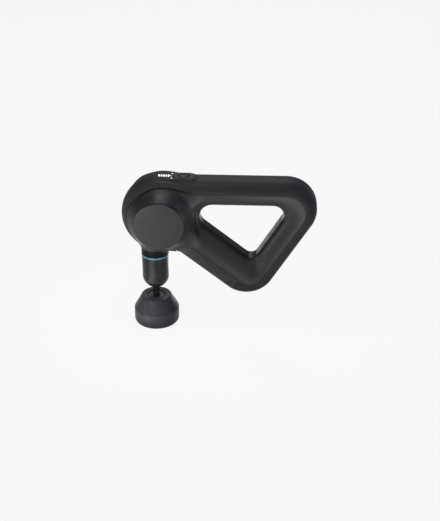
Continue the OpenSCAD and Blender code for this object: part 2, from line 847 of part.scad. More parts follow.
module cell(x, z) translate([x, 0, z]) rotate([0, 90, 0]) difference() {
    cylinder(r = cell_r, h = cell_l);
    translate([0, 0, cell_l - terminal[1]]) difference() {
        cylinder(r = cell_r + over, h = 2 * terminal[1]);
        cylinder(r = terminal[0], h = 2 * terminal[1]);
    }
}

module battery_cells() color([0.2, 0.35, 0.55]) {
    for (s = [-1, 1]) in_low_arm() cell(low_cell_start, low_mid + s * (cell_r + cell_gap / 2));
    in_rear_arm() cell(rear_cell_start, rear_cell_mid);
}

// End frames round the lower pair of cells, joined by a spine in the groove between them
module cell_holder() color([0.85, 0.85, 0.82]) in_low_arm() translate([0, 0, low_mid]) difference() {
    union() {
        for (x = [holder_x, holder_x + holder_l - holder_t]) translate([x, -holder_y, -holder_z])
            cube([holder_t, 2 * holder_y, 2 * holder_z]);
        translate([holder_x, spine_y[0], -holder_t / 2]) cube([holder_l, spine_y[1] - spine_y[0], holder_t]);
    }
    for (s = [-1, 1]) translate([-past / 2, 0, s * (cell_r + cell_gap / 2)]) rotate([0, 90, 0])
        cylinder(r = cell_r + seat_gap, h = past);
}

// Round power inlet at the lower corner, facing down

module charge_socket() color([0.12, 0.12, 0.13]) translate([socket_x, 0, 0]) {
    difference() {
        union() {
            bar_z(socket_r, socket_z, socket_z + socket_l);
            bar_z(socket_r + socket_flange[0], socket_z + socket_flange[1], socket_z + socket_flange[2]);
        }
        bar_z(plug_r, 0, socket_z + plug_depth);
    }
    bar_z(plug_pin_r, socket_z + plug_pin_drop, socket_z + plug_depth + seat_gap);
}

// Screws that close the case, put in from the rear
module case_screws() color([0.3, 0.3, 0.32]) at_case_screws() mirror([0, 1, 0])
    pan_screw(-case_head_y[1], case_tip_y, case_head_y[1] - case_head_y[0]);

// Wiring, swept along its route

function along(route, i) = let (
    a = route[max(i - 1, 0)],
    b = route[min(i + 1, len(route) - 1)]
) (b - a) / norm(b - a);

module lead(route, r) {
    turn = 360 / lead_sides;
    points = [for (i = [0:len(route) - 1])
        let (t = along(route, i), level = cross(t, [0, 0, 1]), u = level / norm(level), v = cross(u, t))
            for (k = [0:lead_sides - 1]) route[i] + r * (cos(turn * k) * u + sin(turn * k) * v)];
    first_end = [for (k = [lead_sides - 1:-1:0]) k];
    last_end = [for (k = [0:lead_sides - 1]) len(points) - lead_sides + k];
    polyhedron(points, concat(skin(len(route), lead_sides, false), [first_end, last_end]));
}

module motor_leads() color([0.6, 0.15, 0.12]) lead(motor_route, motor_lead_r);

module battery_leads() color([0.75, 0.2, 0.15]) lead(battery_route, battery_lead_r);

case_front();
case_rear();
grip_band();
grip_strip();
front_cap();
rear_cap();
nose_collar();
accent_ring();
nose_sleeve();
tip_seal();
guide_tube();
upper_bush();
lower_bush();
drive_frame();
frame_screws();
motor_base();
motor_screws();
motor_bearings();
motor_stator();
stator_coils();
motor_rotor();
rotor_magnets();
motor_shaft();
crank_disc();
crank_pin();
crank_roller();
crank_clip();
drive_yoke();
yoke_pin();
plunger_shaft();
head_foam();
head_core();
power_button();
speed_rocker();
level_lights();
mode_lights();
control_board();
control_switches();
driver_board();
driver_screws();
battery_cells();
cell_holder();
charge_socket();
case_screws();
motor_leads();
battery_leads();
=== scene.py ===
import json
import math
from itertools import product

import bpy
import numpy as np
from bpy.props import FloatProperty, FloatVectorProperty, PointerProperty
from mathutils import Matrix, Vector


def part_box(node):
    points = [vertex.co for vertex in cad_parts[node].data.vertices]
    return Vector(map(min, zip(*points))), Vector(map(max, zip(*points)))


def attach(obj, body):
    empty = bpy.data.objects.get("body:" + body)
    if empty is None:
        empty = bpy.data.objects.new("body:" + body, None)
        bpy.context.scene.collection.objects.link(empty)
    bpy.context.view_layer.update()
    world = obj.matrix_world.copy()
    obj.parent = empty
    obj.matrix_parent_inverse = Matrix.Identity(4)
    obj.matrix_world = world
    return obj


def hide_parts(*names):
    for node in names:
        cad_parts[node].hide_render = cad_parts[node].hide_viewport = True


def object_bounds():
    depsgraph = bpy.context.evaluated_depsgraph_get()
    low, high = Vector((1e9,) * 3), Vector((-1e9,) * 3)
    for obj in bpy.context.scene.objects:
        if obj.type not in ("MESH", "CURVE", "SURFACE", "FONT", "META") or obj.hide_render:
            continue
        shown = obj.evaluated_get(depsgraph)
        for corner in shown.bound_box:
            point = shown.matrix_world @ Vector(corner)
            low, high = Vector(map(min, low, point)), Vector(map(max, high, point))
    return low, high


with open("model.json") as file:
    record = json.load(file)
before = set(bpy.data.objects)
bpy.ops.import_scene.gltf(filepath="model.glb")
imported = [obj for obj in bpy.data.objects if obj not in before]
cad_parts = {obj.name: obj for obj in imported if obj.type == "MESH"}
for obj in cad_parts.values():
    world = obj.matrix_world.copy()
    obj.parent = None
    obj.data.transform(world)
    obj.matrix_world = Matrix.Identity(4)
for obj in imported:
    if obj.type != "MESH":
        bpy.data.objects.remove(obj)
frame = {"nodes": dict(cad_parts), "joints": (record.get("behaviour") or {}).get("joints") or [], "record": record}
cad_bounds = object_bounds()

bl_info = {
    "name": "Massage gun with a loop handle",
    "version": (1, 0, 0),
    "blender": (4, 5, 0),
    "location": "View3D > Sidebar > Massage gun",
    "description": "Builds the finished surfaces of a massage gun around its working frame",
    "category": "Object",
}

# Places taken from the frame

joints = {joint["name"]: joint for joint in frame["joints"]}
motor_x, _, motor_z = joints["crank_spin"]["pos_m"]


def reach(node):
    """Lowest and highest corner of a node."""
    low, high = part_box(node)
    return Vector(low), Vector(high)


def radius_of(node):
    """Radius of a round node that stands on the stroke axis."""
    low, high = reach(node)
    return (high.x - low.x) / 2


def places_of(node):
    """Centres in XZ of a node's separate pieces that run along Y."""
    points = np.array([v.co[:] for v in frame["nodes"][node].data.vertices])
    flat = points[:, [0, 2]]
    centres = []
    while len(flat):
        near = np.hypot(*(flat - flat[0]).T) < 0.02
        centres.append((flat[near].min(0) + flat[near].max(0)) / 2)
        flat = flat[~near]
    return centres


# Sizes and colours that a user would change


def single(**kind):
    """Maker of properties that hold one value of a kind."""
    def make(name, description, default):
        return FloatProperty(name=name, description=description, default=default, **kind)
    return make


def several(**kind):
    """Maker of properties that hold a row of values of a kind."""
    def make(name, description, default):
        size = len(default)
        return FloatVectorProperty(name=name, description=description, default=default, size=size, **kind)
    return make


length = single(unit="LENGTH", precision=4)
lengths = several(unit="LENGTH", precision=4)
angle = single(unit="ROTATION", subtype="ANGLE")
share = single(min=0, max=1, subtype="FACTOR")
amount = single(min=0)
colour = several(min=0, max=1, subtype="COLOR")


class HandleSizes(bpy.types.PropertyGroup):
    """The three arms, named from the handle hole; corners run right, left, lower"""

    hole_top: length("Hole top", "Height of the handle hole's top edge", 0.1579)
    hole_rear: length("Hole rear", "Distance of the hole's rear edge from the origin", 0.0513)
    hole_low: length("Hole low", "Distance of the hole's lower edge from the origin", 0.1389)
    rear_slope: angle("Rear slope", "Slope of the rear arm", math.radians(58.4))
    low_slope: angle("Low slope", "Slope of the lower arm", math.radians(38.8))
    arms: lengths("Arms", "Depth of the rear, top and lower arm", (0.03185, 0.0301, 0.0444))
    half_width: length("Half width", "Half width of the arms", 0.018)
    edge_radius: length("Edge radius", "Rounding of the arms' edges", 0.012)
    hole_slope: share("Hole slope", "Part of an arm's depth over which it falls off into the hole", 0.64)
    low_start: length("Low start", "Height on the lower arm where its side starts to lean", 0.022)
    low_lean: amount("Low lean", "How steeply the lower arm's side leans to the hole", 0.55)
    hole_corners: lengths("Hole corners", "Corner radii of the hole", (0.012, 0.015, 0.0085))
    outer_corners: lengths("Outer corners", "Corner radii of the outline", (0.035, 0.032, 0.0345))
    seam_corners: lengths("Seam corners", "Corner radii of the band's seam", (0.022, 0.022, 0.016))
    seam_depths: lengths("Seam depths", "Seam's depth on rear, top and lower arm", (0.013, 0.013, 0.0172))


class HeadSizes(bpy.types.PropertyGroup):
    """The round head and the forms that grow out of it"""

    radius: length("Radius", "Radius of the head over the grip band", 0.0453)
    seam_radius: length("Seam radius", "Radius of the seam between band and case", 0.038)
    seam_half: length("Seam half width", "Half width of the band on the head", 0.020)
    flank_radius: length("Flank radius", "Radius of the flank at the cap", 0.0289)
    boss_radius: length("Boss radius", "Radius of the boss under a side cap", 0.0279)
    flank_half: length("Flank half width", "Half width of the head at the caps' seats", 0.0354)
    flank_edge: length("Flank edge", "Rounding between the flank and the cap's seat", 0.0016)
    hole_half: length("Hole half width", "Half width of the head at the handle hole's edge", 0.005)
    hole_fall: amount("Hole fall", "How steeply the head falls off to the handle hole", 1.4)
    arm_fillet: length("Arm fillet", "Hollow between the head's flank and the arms", 0.016)
    crown_fillet: length("Crown fillet", "Hollow between the head's crown and the arms", 0.003)
    low_fillet: length("Low fillet", "Hollow under the head", 0.007)
    nose_fillet: length("Nose fillet", "Hollow between the head and the nose", 0.009)
    seam_sweep: length("Seam sweep", "How softly the head's seam runs into the arms' seam", 0.022)
    pod_top: length("Pod top", "Height of the control pod", 0.1896)
    pod_ends: lengths("Pod ends", "Ends of the control pod", (0.004, 0.050))
    pod_half: length("Pod half width", "Half width of the control pod", 0.0100)
    pod_edge: length("Pod edge", "Rounding of the control pod", 0.0014)
    pod_fillet: length("Pod fillet", "Hollow round the control pod", 0.0022)


class ShellSizes(bpy.types.PropertyGroup):
    """How the skin is cut into pieces"""

    cell: length("Cell", "Size of the cells that the skin is drawn with", 0.0010)
    wall: length("Wall", "Thickness of the case and the band", 0.0022)
    gap: length("Gap", "Width of the seams on the arms", 0.00024)
    strip_gap: length("Strip gap", "Width of the seam along the ribbed strip", 0.0006)
    head_gap: length("Head gap", "Width of the seam round the head", 0.00110)
    neck_gap: length("Neck gap", "Width of the seam between case and nose collar", 0.00012)
    lip: length("Lip", "Rounding along the seams", 0.00035)
    lining: length("Lining", "Wall of the strip that backs the seams", 0.0006)
    lining_half: length("Lining half", "Reach of that strip to each side of a seam", 0.002)
    strip_ends: lengths("Strip ends", "Ends of the ribbed strip along the lower arm", (-0.049, 0.035))
    screw_hole: length("Screw hole", "Width of the openings over the case screws", 0.0062)
    socket_hole: length("Socket hole", "Width of the opening round the charge socket", 0.0114)
    rib_pitch: length("Rib pitch", "Distance between ribs", 0.0019)
    rib_width: length("Rib width", "Width of a rib at its foot", 0.0011)
    rib_height: length("Rib height", "Height of a rib", 0.0008)


class ControlSizes(bpy.types.PropertyGroup):
    """Button, rocker and lights"""

    button_dish: length("Button dish", "Depth of the button's dish", 0.0009)
    key_edge: length("Key edge", "Rounding of the button and the rocker", 0.0006)
    button_gap: length("Button gap", "Gap round the button", 0.0004)
    rocker_half: length("Rocker half width", "Half width of the speed rocker", 0.0075)
    pocket_gap: length("Pocket gap", "Gap round the speed rocker", 0.0004)
    mark_length: length("Mark length", "Length of the minus and plus marks", 0.0026)
    mark_width: length("Mark width", "Stroke of the minus and plus marks", 0.0007)
    mark_place: length("Mark place", "Distance of the marks from the button", 0.0093)
    light_rise: length("Light rise", "How far the lights stand proud", 0.00008)


class Finishes(bpy.types.PropertyGroup):
    """Base colours, in linear light"""

    strip: colour("Strip", "Ribbed strip", (0.0432, 0.0442, 0.0472))
    band: colour("Band", "Soft grip", (0.0232, 0.0240, 0.0268))
    case: colour("Case", "Moulded case", (0.0080, 0.0087, 0.0102))
    cap: colour("Cap", "Side caps", (0.0138, 0.0140, 0.0152))
    # The collar's colour is the nose sleeve's colour darkened to four tenths: painted shade from the head and side
    # cap that hang over it. The plastic is the same as the sleeve's.
    collar: colour("Collar", "Nose collar", (0.0026, 0.0027, 0.0029))
    nose: colour("Nose", "Nose sleeve", (0.0064, 0.0065, 0.0071))
    accent: colour("Accent", "Accent ring", (0.050, 0.140, 0.185))
    foam: colour("Foam", "Massage head", (0.0410, 0.0436, 0.0500))
    core: colour("Core", "Plug in the massage head", (0.0180, 0.0185, 0.0200))
    keys: colour("Keys", "Button and rocker", (0.0250, 0.0250, 0.0262))
    marks: colour("Marks", "Minus and plus marks", (0.006, 0.006, 0.006))
    shaft: colour("Shaft", "Plunger shaft", (0.55, 0.55, 0.57))


class StageSizes(bpy.types.PropertyGroup):
    """Camera, floor and lamps"""

    camera_place: lengths("Camera place", "Where the camera stands", (0.1267, -1.1699, 0.7389))
    camera_azimuth: angle("Camera azimuth", "How far round the camera stands", math.radians(2.5))
    camera_elevation: angle("Camera elevation", "How far the camera looks down", math.radians(29.3))
    lens: amount("Lens", "Focal length in millimetres on a 36 mm sensor", 79.46)
    floor_half: length("Floor half", "Half of the floor's side", 30.0)
    floor_white: share("Floor white", "Share of plain white in the floor that the camera sees", 0.9)
    ambient: amount("Ambient", "Strength of the light from all round", 0.05)
    left: amount("Left", "Power of the small lamp before the side cap", 0.2)
    left_card: amount("Left card", "Power of the lit card on the floor before the head", 0.36)
    nose_card: amount("Nose card", "Power of the small lit card on the floor before the nose", 0.05)
    right_card: amount("Right card", "Power of the lit card on the floor before the handle", 0.85)
    top: amount("Top", "Power of the lamp above the front", 2.2)
    over: amount("Over", "Power of the small lamp above the head", 0.8)
    back: amount("Back", "Power of the lamp behind", 4.0)
    side: amount("Side", "Power of the cool lamp on the right", 2.6)
    rear_card: amount("Rear card", "Power of the lit card on the floor behind", 1.0)


class MassageGun(bpy.types.PropertyGroup):
    """Everything that drives the build"""

    handle: PointerProperty(type=HandleSizes)
    head: PointerProperty(type=HeadSizes)
    shell: PointerProperty(type=ShellSizes)
    controls: PointerProperty(type=ControlSizes)
    finishes: PointerProperty(type=Finishes)
    stage: PointerProperty(type=StageSizes)


# Distances: negative inside a form, positive outside


def blend_min(a, b, k):
    """Union of two forms, with a hollow of size k between them."""
    t = np.clip(0.5 + 0.5 * (b - a) / k, 0, 1)
    return b + (a - b) * t - k * t * (1 - t)


def blend_max(a, b, k):
    """Overlap of two forms, with its edge rounded over k."""
    return -blend_min(-a, -b, k)


def rounded(flat, side, r):
    """Outline of distance flat, given a thickness of distance side, its edges rounded to r."""
    a, b = flat + r, side + r
    return np.minimum(np.maximum(a, b), 0) + np.hypot(np.maximum(a, 0), np.maximum(b, 0)) - r


def pill(x, y, ends, half):
    """Round-ended bar along X."""
    along = np.maximum(np.maximum(ends[0] + half - x, x - ends[1] + half), 0)
    return np.hypot(along, y) - half


def ease(low, high, value):
    t = np.clip((value - low) / (high - low), 0, 1)
    return t * t * (3 - 2 * t)


class RoundedTriangle:
    """Triangle in the XZ plane: outward directions of its edges, their distances and the corner radii."""

    def __init__(self, turns, edges, radii):
        self.sides = [(math.cos(t), math.sin(t), e) for t, e in zip(turns, edges)]
        self.corners = []
        for i in range(3):
            (ca, sa, da), (cb, sb, db) = self.sides[i], self.sides[(i + 1) % 3]
            r = radii[i]
            span = sb * ca - cb * sa
            centre_x = ((da - r) * sb - (db - r) * sa) / span
            centre_z = ((db - r) * ca - (da - r) * cb) / span
            self.corners.append((centre_x, centre_z, r, ca, sa, cb, sb))

    def distance(self, x, z):
        result = np.max([c * x + s * z - e for c, s, e in self.sides], axis=0)
        for centre_x, centre_z, r, ca, sa, cb, sb in self.corners:
            dx, dz = x - centre_x, z - centre_z
            wedge = (ca * dz - sa * dx >= 0) & (dx * sb - dz * cb >= 0)
            result = np.where(wedge, np.hypot(dx, dz) - r, result)
        return result


class BodyForm:
    """Skin of the head, the handle and the neck, and the seams on it."""

    def __init__(self, gun):
        handle, self.head, self.shell = gun.handle, gun.head, gun.shell
        quarter = math.pi / 2
        turns = [handle.rear_slope - quarter, quarter, 3 * quarter - handle.low_slope]
        hole = [handle.hole_rear, handle.hole_top, -handle.hole_low]
        outer = [h + a for h, a in zip(hole, handle.arms)]
        seam = [o - d for o, d in zip(outer, handle.seam_depths)]
        self.handle = handle
        self.hole = RoundedTriangle(turns, hole, handle.hole_corners)
        self.outer = RoundedTriangle(turns, outer, handle.outer_corners)
        self.seam_line = RoundedTriangle(turns, seam, handle.seam_corners)
        self.arm_along = (math.cos(handle.low_slope), -math.sin(handle.low_slope))
        self.arm_across = (math.sin(handle.low_slope), math.cos(handle.low_slope))
        self.arm_foot = handle.hole_low - handle.arms[2]
        rise = self.head.radius - self.head.seam_radius
        self.crown_r = (self.head.seam_half**2 + rise**2) / (2 * rise)
        self.nose_r = radius_of("nose_collar")
        self.collar_foot = reach("nose_collar")[0].z
        collar_height, top_room = 0.0095, 0.0002
        self.neck_cut = self.collar_foot + collar_height
        self.top = cad_bounds[1][2] - top_room

    def ring(self, x, y, z):
        """The arms, which fall off into the hole; the sides of the lower one also lean towards it."""
        handle, side = self.handle, np.abs(y)
        edge = handle.edge_radius
        outer, hole = self.outer.distance(x, z), self.hole.distance(x, z)
        thinnest, thickest = 0.02, 0.046
        depth = np.clip(hole - outer, thinnest, thickest)
        flat = np.maximum(outer, -hole * edge / (handle.hole_slope * depth))
        arm = rounded(flat, side - handle.half_width, edge)
        _, across = self.along_arm(x, z)
        beyond, softness, rate = 0.006, 0.012, 0.7
        past_hole = across - handle.arms[2] - beyond
        regain = rate * (past_hole + np.hypot(past_hole, softness))
        cos, sin, rear_edge = self.outer.sides[0]
        rim, lean_edge = 0.006, 0.003
        lean = handle.low_lean * ease(rim, handle.arms[0], rear_edge - cos * x - sin * z)
        width = handle.half_width - lean * (across - handle.low_start) + regain
        return blend_max(arm, (side - width) / math.hypot(1, handle.low_lean), lean_edge)

    def round_head(self, x, y, z):
        head = self.head
        out, side = np.hypot(x - motor_x, z - motor_z), np.abs(y)
        hub = head.radius - self.crown_r
        crown = np.hypot(out - hub, side) - self.crown_r
        fall = np.array([head.seam_radius - head.flank_radius, head.flank_half - head.seam_half])
        fall /= np.hypot(*fall)
        flank = (out - head.seam_radius) * fall[1] + (side - head.seam_half) * fall[0]
        past_seam = side * (head.seam_radius - hub) > (out - hub) * head.seam_half
        skin = np.where(past_seam, flank, crown)
        skin = blend_max(skin, side - head.flank_half, head.flank_edge)
        clear = side - head.hole_half - head.hole_fall * self.hole.distance(x, z)
        clear_edge, boss_fillet = 0.010, 0.002
        skin = blend_max(skin, clear / math.hypot(1, head.hole_fall), clear_edge)
        boss = blend_max(out - head.boss_radius, side - head.flank_half, head.flank_edge)
        return blend_min(skin, boss, boss_fillet)

    def pod(self, x, y, z):
        head = self.head
        half_depth = 0.007
        height = np.abs(z - head.pod_top + half_depth) - half_depth
        return rounded(pill(x, y, head.pod_ends, head.pod_half), height, head.pod_edge)

    def neck(self, x, y, z):
        buried, edge = 0.012, 0.0006
        ends = np.maximum(self.collar_foot - z, z - motor_z + buried)
        return blend_max(np.hypot(x, y) - self.nose_r, ends, edge)

    def skin(self, points):
        x, y, z = points.T
        head = self.head
        crown_side, arm_side = 0.009, 0.018
        wider = (head.arm_fillet - head.crown_fillet) * ease(crown_side, arm_side, np.abs(y))
        under_top, under_foot = 0.135, 0.120
        under = head.low_fillet * ease(under_top, under_foot, z)
        least, hole_start, hole_end = 0.1, -0.002, 0.014
        by_hole = least + (1 - least) * ease(hole_start, hole_end, self.hole.distance(x, z))
        fillet = np.maximum(head.crown_fillet + wider, under) * by_hole
        skin = blend_min(self.ring(x, y, z), self.round_head(x, y, z), fillet)
        skin = blend_min(skin, self.pod(x, y, z), head.pod_fillet)
        skin = blend_min(skin, self.neck(x, y, z), head.nose_fillet)
        top_edge = 0.0004
        return blend_max(skin, z - self.top, top_edge)

    def seam(self, points):
        """Negative on the case, positive on the band."""
        x, _, z = points.T
        head = self.head
        circle = np.hypot(x - motor_x, z - motor_z) - head.seam_radius
        line = blend_min(self.seam_line.distance(x, z), circle, head.seam_sweep)
        seat_x, seat_room, seat_sweep = 0.0045, 0.006, 0.006
        seat = np.maximum(np.abs(x - seat_x) - self.nose_r - seat_room, z - motor_z)
        return blend_min(line, seat, seat_sweep)

    def along_arm(self, x, z):
        """Places along the lower arm, and heights above its outer edge."""
        along = x * self.arm_along[0] + z * self.arm_along[1]
        across = x * self.arm_across[0] + z * self.arm_across[1] - self.arm_foot
        return along, across

    def strip(self, points):
        """Negative where the ribbed strip lies."""
        along, across = self.along_arm(points[:, 0], points[:, 2])
        start, end = self.shell.strip_ends
        strip_top = 0.022
        return np.max([start - along, along - end, across - strip_top], axis=0)

    def top_at(self, x, y):
        """Height of the skin's top."""
        above, rounds = 0.002, 12
        z = np.full(np.shape(x), self.head.pod_top + above)
        for _ in range(rounds):
            z = z - self.skin(np.column_stack([x, y, z]))
        return z


# Meshes drawn from distances


def slope_of(field, points):
    step = 2e-5
    slopes = []
    for axis in np.eye(3) * step:
        slopes.append((field(points + axis) - field(points - axis)) / (2 * step))
    return np.column_stack(slopes)


def onto(field, points, rounds=3):
    """Points moved onto the surface where field is zero."""
    least = 0.1
    for _ in range(rounds):
        slope = slope_of(field, points)
        points = points - slope * (field(points) / (slope**2).sum(1).clip(least))[:, None]
    return points


def surface_nets(field, low, high, cell):
    """Points and quads of the surface where field is zero: one point for each cell that it crosses."""
    axes = [np.arange(a, b + cell, cell) for a, b in zip(low, high)]
    plane = np.stack(np.meshgrid(axes[1], axes[2], indexing="ij"), -1).reshape(-1, 2)
    values = np.stack([field(np.column_stack([np.full(len(plane), x), plane])) for x in axes[0]])
    values = values.reshape([len(a) for a in axes])
    inside = values < 0
    shape = np.array(values.shape) - 1
    corners = np.zeros(shape, int)
    for i, j, k in product((0, 1), repeat=3):
        corners += inside[i:i + shape[0], j:j + shape[1], k:k + shape[2]]
    mixed = (corners > 0) & (corners < 8)
    cells = np.argwhere(mixed)
    number = np.full(shape, -1)
    number[mixed] = np.arange(len(cells))
    total, hits = np.zeros((len(cells), 3)), np.zeros(len(cells))
    units = np.eye(3, dtype=int)
    for axis in range(3):
        u, v = units[(axis + 1) % 3], units[(axis + 2) % 3]
        for i, j in product((0, 1), repeat=2):
            start = cells + i * u + j * v
            a, b = values[tuple(start.T)], values[tuple((start + units[axis]).T)]
            crossing = (a < 0) != (b < 0)
            part = np.where(crossing, a / np.where(crossing, a - b, 1), 0)
            total += crossing[:, None] * (start + part[:, None] * units[axis])
            hits += crossing
    quads = []
    for axis in range(3):
        u, v = units[(axis + 1) % 3], units[(axis + 2) % 3]
        ends = [slice(1, None) if k != axis else slice(0, -1) for k in range(3)]
        next_ends = [slice(1, None)] * 3
        first, second = inside[tuple(ends)], inside[tuple(next_ends)]
        starts = np.argwhere(first != second) + 1 - units[axis]
        outward = inside[tuple(starts.T)]
        around = [number[tuple((starts - i * u - j * v).T)] for i, j in ((1, 1), (0, 1), (0, 0), (1, 0))]
        quad = np.column_stack(around)
        quads.append(np.where(outward[:, None], quad, quad[:, ::-1]))
    return np.array(low) + cell * total / hits[:, None], np.concatenate(quads)


def relaxed(field, points, quads, rounds=4):
    """Points spread evenly over the surface."""
    ends = np.concatenate([quads[:, [k, (k + 1) % 4]] for k in range(4)])
    count = np.bincount(ends.ravel(), minlength=len(points))
    for _ in range(rounds):
        total = np.zeros_like(points)
        for axis in range(3):
            total[:, axis] += np.bincount(ends[:, 0], points[ends[:, 1], axis], len(points))
            total[:, axis] += np.bincount(ends[:, 1], points[ends[:, 0], axis], len(points))
        points = onto(field, 0.5 * points + 0.5 * total / count[:, None], 2)
    return points


def slide(field, cut, points, rounds=4):
    """Points moved along the surface onto the line where cut is zero."""
    least, farthest = 0.05, 0.002
    for _ in range(rounds):
        normal = slope_of(field, points)
        normal /= np.linalg.norm(normal, axis=1)[:, None]
        slope = slope_of(cut, points)
        slope -= (slope * normal).sum(1)[:, None] * normal
        move = np.clip(cut(points) / (slope**2).sum(1).clip(least), -farthest, farthest)
        points = onto(field, points - slope * move[:, None], 1)
    return points


def trimmed(field, points, quads, cuts, cell):
    """The part of a surface where every cut is negative, with clean edges along the cuts."""
    others, snap = [], 0.25 * cell
    for cut in cuts:
        values = cut(points)
        near = np.abs(values) < snap
        used = np.zeros(len(points), bool)
        used[quads.ravel()] = True
        for face in others:
            used[face] = True
        near &= used
        points = points.copy()
        points[near] = slide(field, cut, points[near])
        values[near] = 0
        corner = values[quads]
        keep = (corner <= 0).all(1) & (corner < 0).any(1)
        torn = (corner < 0).any(1) & ~keep
        pieces = [list(face) for face in quads[torn]] + others
        quads, others = quads[keep], []
        made, ends = {}, []
        for face in pieces:
            outline = []
            for a, b in zip(face, face[1:] + face[:1]):
                if values[a] <= 0:
                    outline.append(a)
                if values[a] * values[b] < 0:
                    key = (min(a, b), max(a, b))
                    if key not in made:
                        made[key] = len(points) + len(ends)
                        ends.append(key)
                    outline.append(made[key])
            if len(outline) > 2 and any(v < len(values) and values[v] < 0 for v in outline):
                others.append(outline)
        if ends:
            first, second = np.array(ends).T
            part = (values[first] / (values[first] - values[second]))[:, None]
            fresh = points[first] + part * (points[second] - points[first])
            points = np.concatenate([points, slide(field, cut, onto(field, fresh), 2)])
    return points, quads.tolist() + others


def new_piece(name, points, faces, smooth=True):
    """Mesh object at the origin, made of the points that its faces use."""
    used = sorted({v for face in faces for v in face})
    place = {v: i for i, v in enumerate(used)}
    mesh = bpy.data.meshes.new(name)
    mesh.from_pydata([tuple(points[v]) for v in used], [], [[place[v] for v in face] for face in faces])
    mesh.validate()
    if smooth:
        mesh.shade_smooth()
    piece = bpy.data.objects.new(name, mesh)
    bpy.context.scene.collection.objects.link(piece)
    return piece


def settle(piece):
    """The piece's modifiers become its mesh."""
    graph = bpy.context.evaluated_depsgraph_get()
    mesh = bpy.data.meshes.new_from_object(piece.evaluated_get(graph))
    piece.modifiers.clear()
    rough, piece.data = piece.data, mesh
    bpy.data.meshes.remove(rough)
    mesh.name = piece.name
    return piece


def thicken(piece, wall, lip):
    """Skin made a wall, with rounded edges along its seams."""
    solid = piece.modifiers.new("Wall", "SOLIDIFY")
    solid.thickness = wall
    solid.offset = -1
    bevel = piece.modifiers.new("Lip", "BEVEL")
    bevel.width = lip
    bevel.segments = 2
    bevel.limit_method = "ANGLE"
    bevel.angle_limit = math.radians(50)
    return settle(piece)


def arc(centre_r, centre_h, radius, start, end, steps=6):
    """Points of an arc in a profile, angles in degrees."""
    turns = np.radians(np.linspace(start, end, steps + 1))
    return [(centre_r + radius * math.cos(t), centre_h + radius * math.sin(t)) for t in turns]


def softened(profile, radii, steps=4):
    """Closed profile whose corners are rounded, one radius for each corner."""
    result = []
    count = len(profile)
    for i, r in enumerate(radii):
        here = np.array(profile[i])
        before = np.array(profile[i - 1]) - here
        after = np.array(profile[(i + 1) % count]) - here
        if r <= 0:
            result.append(tuple(here))
            continue
        before, after = before / np.linalg.norm(before), after / np.linalg.norm(after)
        half = math.acos(np.clip(before @ after, -1, 1)) / 2
        reach_along = r / math.tan(half)
        for t in np.linspace(0, 1, steps + 1):
            a, b = here + before * reach_along * (1 - t), here + after * reach_along * t
            result.append(tuple((1 - t) * a + t * b))
    return result


def lathe(name, profile, centre=(0, 0, 0), axis="Z", segments=96):
    """Closed profile of (radius, height) turned round an axis; points on the axis become poles."""
    points, rows = [], []
    turns = np.arange(segments) * 2 * math.pi / segments
    on_axis = 1e-7
    for r, h in profile:
        if r < on_axis:
            rows.append([len(points)] * segments)
            points.append((0, 0, h))
            continue
        rows.append(list(range(len(points), len(points) + segments)))
        points += [(r * math.cos(t), r * math.sin(t), h) for t in turns]
    faces = []
    for low, high in zip(rows, rows[1:] + rows[:1]):
        for k in range(segments):
            n = (k + 1) % segments
            face = list(dict.fromkeys([low[k], low[n], high[n], high[k]]))
            if len(face) > 2:
                faces.append(face)
    points = np.array(points)
    if axis == "-Y":
        points = points[:, [0, 2, 1]] * [1, -1, 1]
    if axis == "+Y":
        points = points[:, [0, 2, 1]] * [-1, 1, 1]
    piece = new_piece(name, points + np.array(centre), faces)
    return sharp_edges(outward(piece))


def outward(piece):
    """Faces of a closed piece turned outwards."""
    bpy.context.view_layer.objects.active = piece
    for other in bpy.context.selected_objects:
        other.select_set(False)
    piece.select_set(True)
    bpy.ops.object.mode_set(mode="EDIT")
    bpy.ops.mesh.select_all(action="SELECT")
    bpy.ops.mesh.normals_make_consistent(inside=False)
    bpy.ops.object.mode_set(mode="OBJECT")
    return piece


def sharp_edges(piece, degrees=38):
    """Edges sharper than this stay crisp."""
    piece.data.set_sharp_from_angle(angle=math.radians(degrees))
    return piece


# Materials: every pattern lies on Object coordinates, in metres


MIDDLE = (0.3, 0.7)  # the part of a pattern's range that most of it lies in


